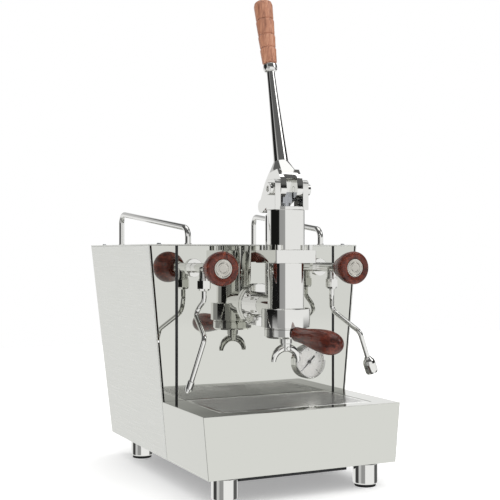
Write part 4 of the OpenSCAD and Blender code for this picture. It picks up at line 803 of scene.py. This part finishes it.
# Gauge glass: thin clear soda glass, seen mostly by its reflections.
gauge_glass, tree, shader, place = material("clear_glass", {"IOR": 1.5, "Alpha": 0.06})
smear = add(tree, "ShaderNodeTexNoise", {"Vector": place, "Scale": 80, "Detail": 3})
gloss = add(tree, "ShaderNodeMapRange", {0: smear.outputs[0], 1: 0.4, 2: 0.8, 3: 0.0, 4: 0.03})
feed(shader, {"Roughness": gloss})


# --- Drip tray and grille ---
# A pressed steel tray stands on two rails of the chassis, and a perforated steel
# grille with a folded rim lies on it, level with the top of the base. The holes are drawn
# coarser than real, 5 mm apart, so that they show.

# Pressed stainless steel: grey and softly glossy, with a fine pickled grain and
# faint rings where water has dried.
tray_steel, tree, shader, place = material("pressed_stainless", {
    "Metallic": 1.0, "Base Color": linear("#ededea")})
grain = add(tree, "ShaderNodeTexNoise", {"Vector": place, "Scale": 500, "Detail": 3})
dried = add(tree, "ShaderNodeTexNoise", {"Vector": place, "Scale": 30, "Detail": 4,
                                         "Distortion": 0.5})
mixed = add(tree, "ShaderNodeMix", {0: 0.3, 2: grain.outputs[0], 3: dried.outputs[0]})
gloss = add(tree, "ShaderNodeMapRange", {0: mixed.outputs[0], 1: 0.3, 2: 0.7,
                                         3: 0.18, 4: 0.26})
bump = add(tree, "ShaderNodeBump", {"Height": grain.outputs[0], "Strength": 0.1,
                                    "Distance": 0.0002})
feed(shader, {"Roughness": gloss, "Normal": bump})

low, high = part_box("drip_grille")
grille_t, border, pitch, hole_r = 2.5, 7, 5.0, 1.4
x0, x1, y0, y1 = low.x / MM, high.x / MM, low.y / MM, high.y / MM
top_z = high.z / MM
nx, ny = int((x1 - x0 - 2 * border) / pitch), int((y1 - y0 - 2 * border) / pitch)
cell_w, cell_d = (x1 - x0 - 2 * border) / nx, (y1 - y0 - 2 * border) / ny


def perforated():
    """A sheet of nx by ny cells with one round hole each. The cell's outline is eight
    points on its square edge, and the hole's are eight points on a circle. The square
    at the top, the circle at the top, then both at the bottom make four rings."""
    a = np.radians(np.arange(8) * 45)
    ray_x, ray_y = np.cos(a), np.sin(a)
    reach = 1 / np.maximum(abs(ray_x), abs(ray_y))
    square = np.stack([ray_x * reach * cell_w / 2, ray_y * reach * cell_d / 2], -1)
    circle = np.stack([ray_x, ray_y], -1) * hole_r
    lip = np.stack([ray_x, ray_y], -1) * (hole_r + 0.35)
    rows = [(square, 0), (lip, 0), (circle, -0.4), (circle, -grille_t), (square, -grille_t)]
    ring = np.stack([np.column_stack([flat, np.full(8, z)]) for flat, z in rows])
    i, j = np.meshgrid(np.arange(nx), np.arange(ny), indexing="ij")
    centre = np.stack([x0 + border + (i + 0.5) * cell_w, y0 + border + (j + 0.5) * cell_d,
                       np.full(i.shape, top_z)], -1).reshape(-1, 1, 1, 3)
    points = (centre + ring[None]).reshape(-1, 3)
    m, n = np.meshgrid(np.arange(4), np.arange(8), indexing="ij")
    k = (n + 1) % 8
    quads = np.stack([m * 8 + n, (m + 1) * 8 + n, (m + 1) * 8 + k, m * 8 + k], -1).reshape(-1, 4)
    return points, (quads[None] + 40 * np.arange(nx * ny)[:, None, None]).reshape(-1, 4)


def frame_ring(rows):
    """A picture frame: each row (inset, z) is the rectangle x0..x1, y0..y1 moved in by
    inset at height z, and the rectangles are joined one to the next."""
    corner = np.array([[0, 0], [1, 0], [1, 1], [0, 1]])
    size, start = np.array([x1 - x0, y1 - y0]), np.array([x0, y0])
    rings = np.stack([np.column_stack([start + inset + corner * (size - 2 * inset),
                                       np.full(4, z)]) for inset, z in rows])
    return skin(rings)


edge_rows = [(border, top_z), (1.2, top_z), (0.5, top_z - 0.2), (0, top_z - 0.9),
             (0, top_z - grille_t), (2.0, top_z - grille_t), (2.0, top_z - grille_t - 7),
             (3.5, top_z - grille_t - 7), (3.5, top_z - grille_t), (border, top_z - grille_t)]
place_piece("perforated_grille", joined([perforated(), frame_ring(edge_rows)]), tray_steel,
            "grille", ["drip_grille"])


# --- Mains inlet pins ---
# Three flat plated pins that stand in the well of the mains inlet.

def upright_boxes(centres, half):
    """One box for each centre: the corners are centre plus half times (+-1, +-1, +-1)."""
    base = np.array([[-1, -1], [1, -1], [1, 1], [-1, 1]])
    corner = np.vstack([np.column_stack([base, np.full(4, z)]) for z in (-1, 1)])
    quads = np.array([[0, 3, 2, 1], [4, 5, 6, 7], [0, 1, 5, 4], [1, 2, 6, 5],
                      [2, 3, 7, 6], [3, 0, 4, 7]])
    points = np.asarray(centres, float)[:, None] + corner * half
    starts = 8 * np.arange(len(centres))[:, None, None]
    return points.reshape(-1, 3), (quads + starts).reshape(-1, 4)


low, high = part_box("power_inlet")
well = np.array([(low.x + high.x) / 2 / MM - 12, high.y / MM - 8, (low.z + high.z) / 2 / MM])
pin_points, pin_faces = upright_boxes(well + [[-7, 0, -3], [0, 0, 4], [7, 0, -3]], (2, 5.5, 1))
pins = put("inlet_pins", pin_points * MM, pin_faces, medallion, smooth=False)
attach(pins, "machine")


# --- Parts that keep their own shape ---
# Pieces under the covers and inside the group, and small fittings, whose CAD shape is
# already right. Each gets the finish of what it is made of.

# Powder-coated steel: dark grey, matt, with an orange-peel skin about 2 mm across.
chassis_paint, tree, shader, place = material("powder_coat", {"Roughness": 0.6})
peel = add(tree, "ShaderNodeTexNoise", {"Vector": place, "Scale": 500, "Detail": 1})
dust = add(tree, "ShaderNodeTexNoise", {"Vector": place, "Scale": 25, "Detail": 3})
tone = add(tree, "ShaderNodeValToRGB", {0: dust.outputs[0]})
set_ramp(tone, [(0.3, linear("#1d1e20")), (0.8, linear("#303134"))])
bump = add(tree, "ShaderNodeBump", {"Height": peel.outputs[0], "Strength": 0.3,
                                    "Distance": 0.0004})
feed(shader, {"Base Color": tone, "Normal": bump})

# Zinc-plated steel: bluish grey, with a soft uneven shine.
screw_steel, tree, shader, place = material("zinc_plate", {"Metallic": 1.0,
                                                    "Base Color": linear("#b9bcc0")})
bloom = add(tree, "ShaderNodeTexNoise", {"Vector": place, "Scale": 300, "Detail": 2})
gloss = add(tree, "ShaderNodeMapRange", {0: bloom.outputs[0], 3: 0.2, 4: 0.4})
feed(shader, {"Roughness": gloss})

# Oil-tempered spring wire: dark grey with a brown cast and a light oil film.
spring_steel, tree, shader, place = material("oil_tempered_wire", {
    "Metallic": 1.0, "Roughness": 0.34})
cast = add(tree, "ShaderNodeTexNoise", {"Vector": place, "Scale": 120, "Detail": 3})
tone = add(tree, "ShaderNodeValToRGB", {0: cast.outputs[0]})
set_ramp(tone, [(0.3, linear("#4a4743")), (0.7, linear("#6f6a63"))])
feed(shader, {"Base Color": tone})

# Copper: drawn and brazed, with darker heat tint in soft patches.
copper, tree, shader, place = material("brazed_copper", {"Metallic": 1.0, "Roughness": 0.3})
tint = add(tree, "ShaderNodeTexNoise", {"Vector": place, "Scale": 35, "Detail": 4})
tone = add(tree, "ShaderNodeValToRGB", {0: tint.outputs[0]})
set_ramp(tone, [(0.3, linear("#9a5238")), (0.55, linear("#c57a55")), (0.8, linear("#dc9a76"))])
feed(shader, {"Base Color": tone})

# Machined brass: yellow, with fine turning marks and slight tarnish.
brass, tree, shader, place = material("machined_brass", {"Metallic": 1.0})
tarnish = add(tree, "ShaderNodeTexNoise", {"Vector": place, "Scale": 55, "Detail": 4})
tone = add(tree, "ShaderNodeValToRGB", {0: tarnish.outputs[0]})
set_ramp(tone, [(0.3, linear("#a3843f")), (0.7, linear("#d0b262"))])
gloss = add(tree, "ShaderNodeMapRange", {0: tarnish.outputs[0], 3: 0.2, 4: 0.42})
feed(shader, {"Base Color": tone, "Roughness": gloss})

# Air-drying enamel on a cast motor: mid grey, satin, a little thick and uneven.
pump_enamel, tree, shader, place = material("motor_enamel", {"Roughness": 0.35})
thick = add(tree, "ShaderNodeTexNoise", {"Vector": place, "Scale": 90, "Detail": 3})
tone = add(tree, "ShaderNodeValToRGB", {0: thick.outputs[0]})
set_ramp(tone, [(0.3, linear("#555a60")), (0.7, linear("#6d7279"))])
bump = add(tree, "ShaderNodeBump", {"Height": thick.outputs[0], "Strength": 0.3,
                                    "Distance": 0.0008})
feed(shader, {"Base Color": tone, "Normal": bump})

# Blow-moulded polypropylene: milky and translucent, slightly wavy.
tank_plastic, tree, shader, place = material("milky_polypropylene", {
    "Base Color": linear("#e3e8ea"), "IOR": 1.49, "Transmission Weight": 0.55,
    "Roughness": 0.35})
wavy = add(tree, "ShaderNodeTexNoise", {"Vector": place, "Scale": 45, "Detail": 2})
bump = add(tree, "ShaderNodeBump", {"Height": wavy.outputs[0], "Strength": 0.2,
                                    "Distance": 0.001})
feed(shader, {"Normal": bump})

# Moulded ABS: black, with a fine spark-eroded grain.
black_plastic, tree, shader, place = material("moulded_abs", {"Roughness": 0.45})
grain = add(tree, "ShaderNodeTexNoise", {"Vector": place, "Scale": 1200, "Detail": 2})
tone = add(tree, "ShaderNodeValToRGB", {0: grain.outputs[0]})
set_ramp(tone, [(0.3, linear("#121213")), (0.8, linear("#232325"))])
bump = add(tree, "ShaderNodeBump", {"Height": grain.outputs[0], "Strength": 0.25,
                                    "Distance": 0.0002})
feed(shader, {"Base Color": tone, "Normal": bump})

# Moulded nylon rocker: dark red, smooth and semi-gloss.
switch_plastic, tree, shader, place = material("moulded_nylon", {"Roughness": 0.3})
swirl = add(tree, "ShaderNodeTexNoise", {"Vector": place, "Scale": 200, "Detail": 2})
tone = add(tree, "ShaderNodeValToRGB", {0: swirl.outputs[0]})
set_ramp(tone, [(0.3, linear("#7a1511")), (0.8, linear("#93201a"))])
feed(shader, {"Base Color": tone})

# Gasket rubber: heat-proof and dull, dark brown.
gasket_rubber, tree, shader, place = material("heat_proof_rubber", {"Roughness": 0.8})
aged = add(tree, "ShaderNodeTexNoise", {"Vector": place, "Scale": 150, "Detail": 3})
tone = add(tree, "ShaderNodeValToRGB", {0: aged.outputs[0]})
set_ramp(tone, [(0.3, linear("#2b1d17")), (0.8, linear("#43301f"))])
feed(shader, {"Base Color": tone})

KEPT = {
    chassis_paint: ["chassis"],
    screw_steel: ["panel_screws", "crank_pin", "piston_rod"],
    spring_steel: ["group_spring"],
    copper: ["boiler", "pipes"],
    brass: ["heating_element", "boiler_fittings", "piston"],
    pump_enamel: ["pump"],
    tank_plastic: ["water_tank"],
    black_plastic: ["control_box", "power_inlet"],
    switch_plastic: ["power_switch"],
    gasket_rubber: ["group_gasket"],
    tray_steel: ["drip_tray", "shower_screen", "filter_basket"],
    satin_steel: ["cup_tray"],
    gauge_glass: ["gauge_glass"],
    needle_paint: ["gauge_needle"],
}
for finish, names in KEPT.items():
    for name in names:
        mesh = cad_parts[name].data
        mesh.materials.clear()
        mesh.materials.append(finish)
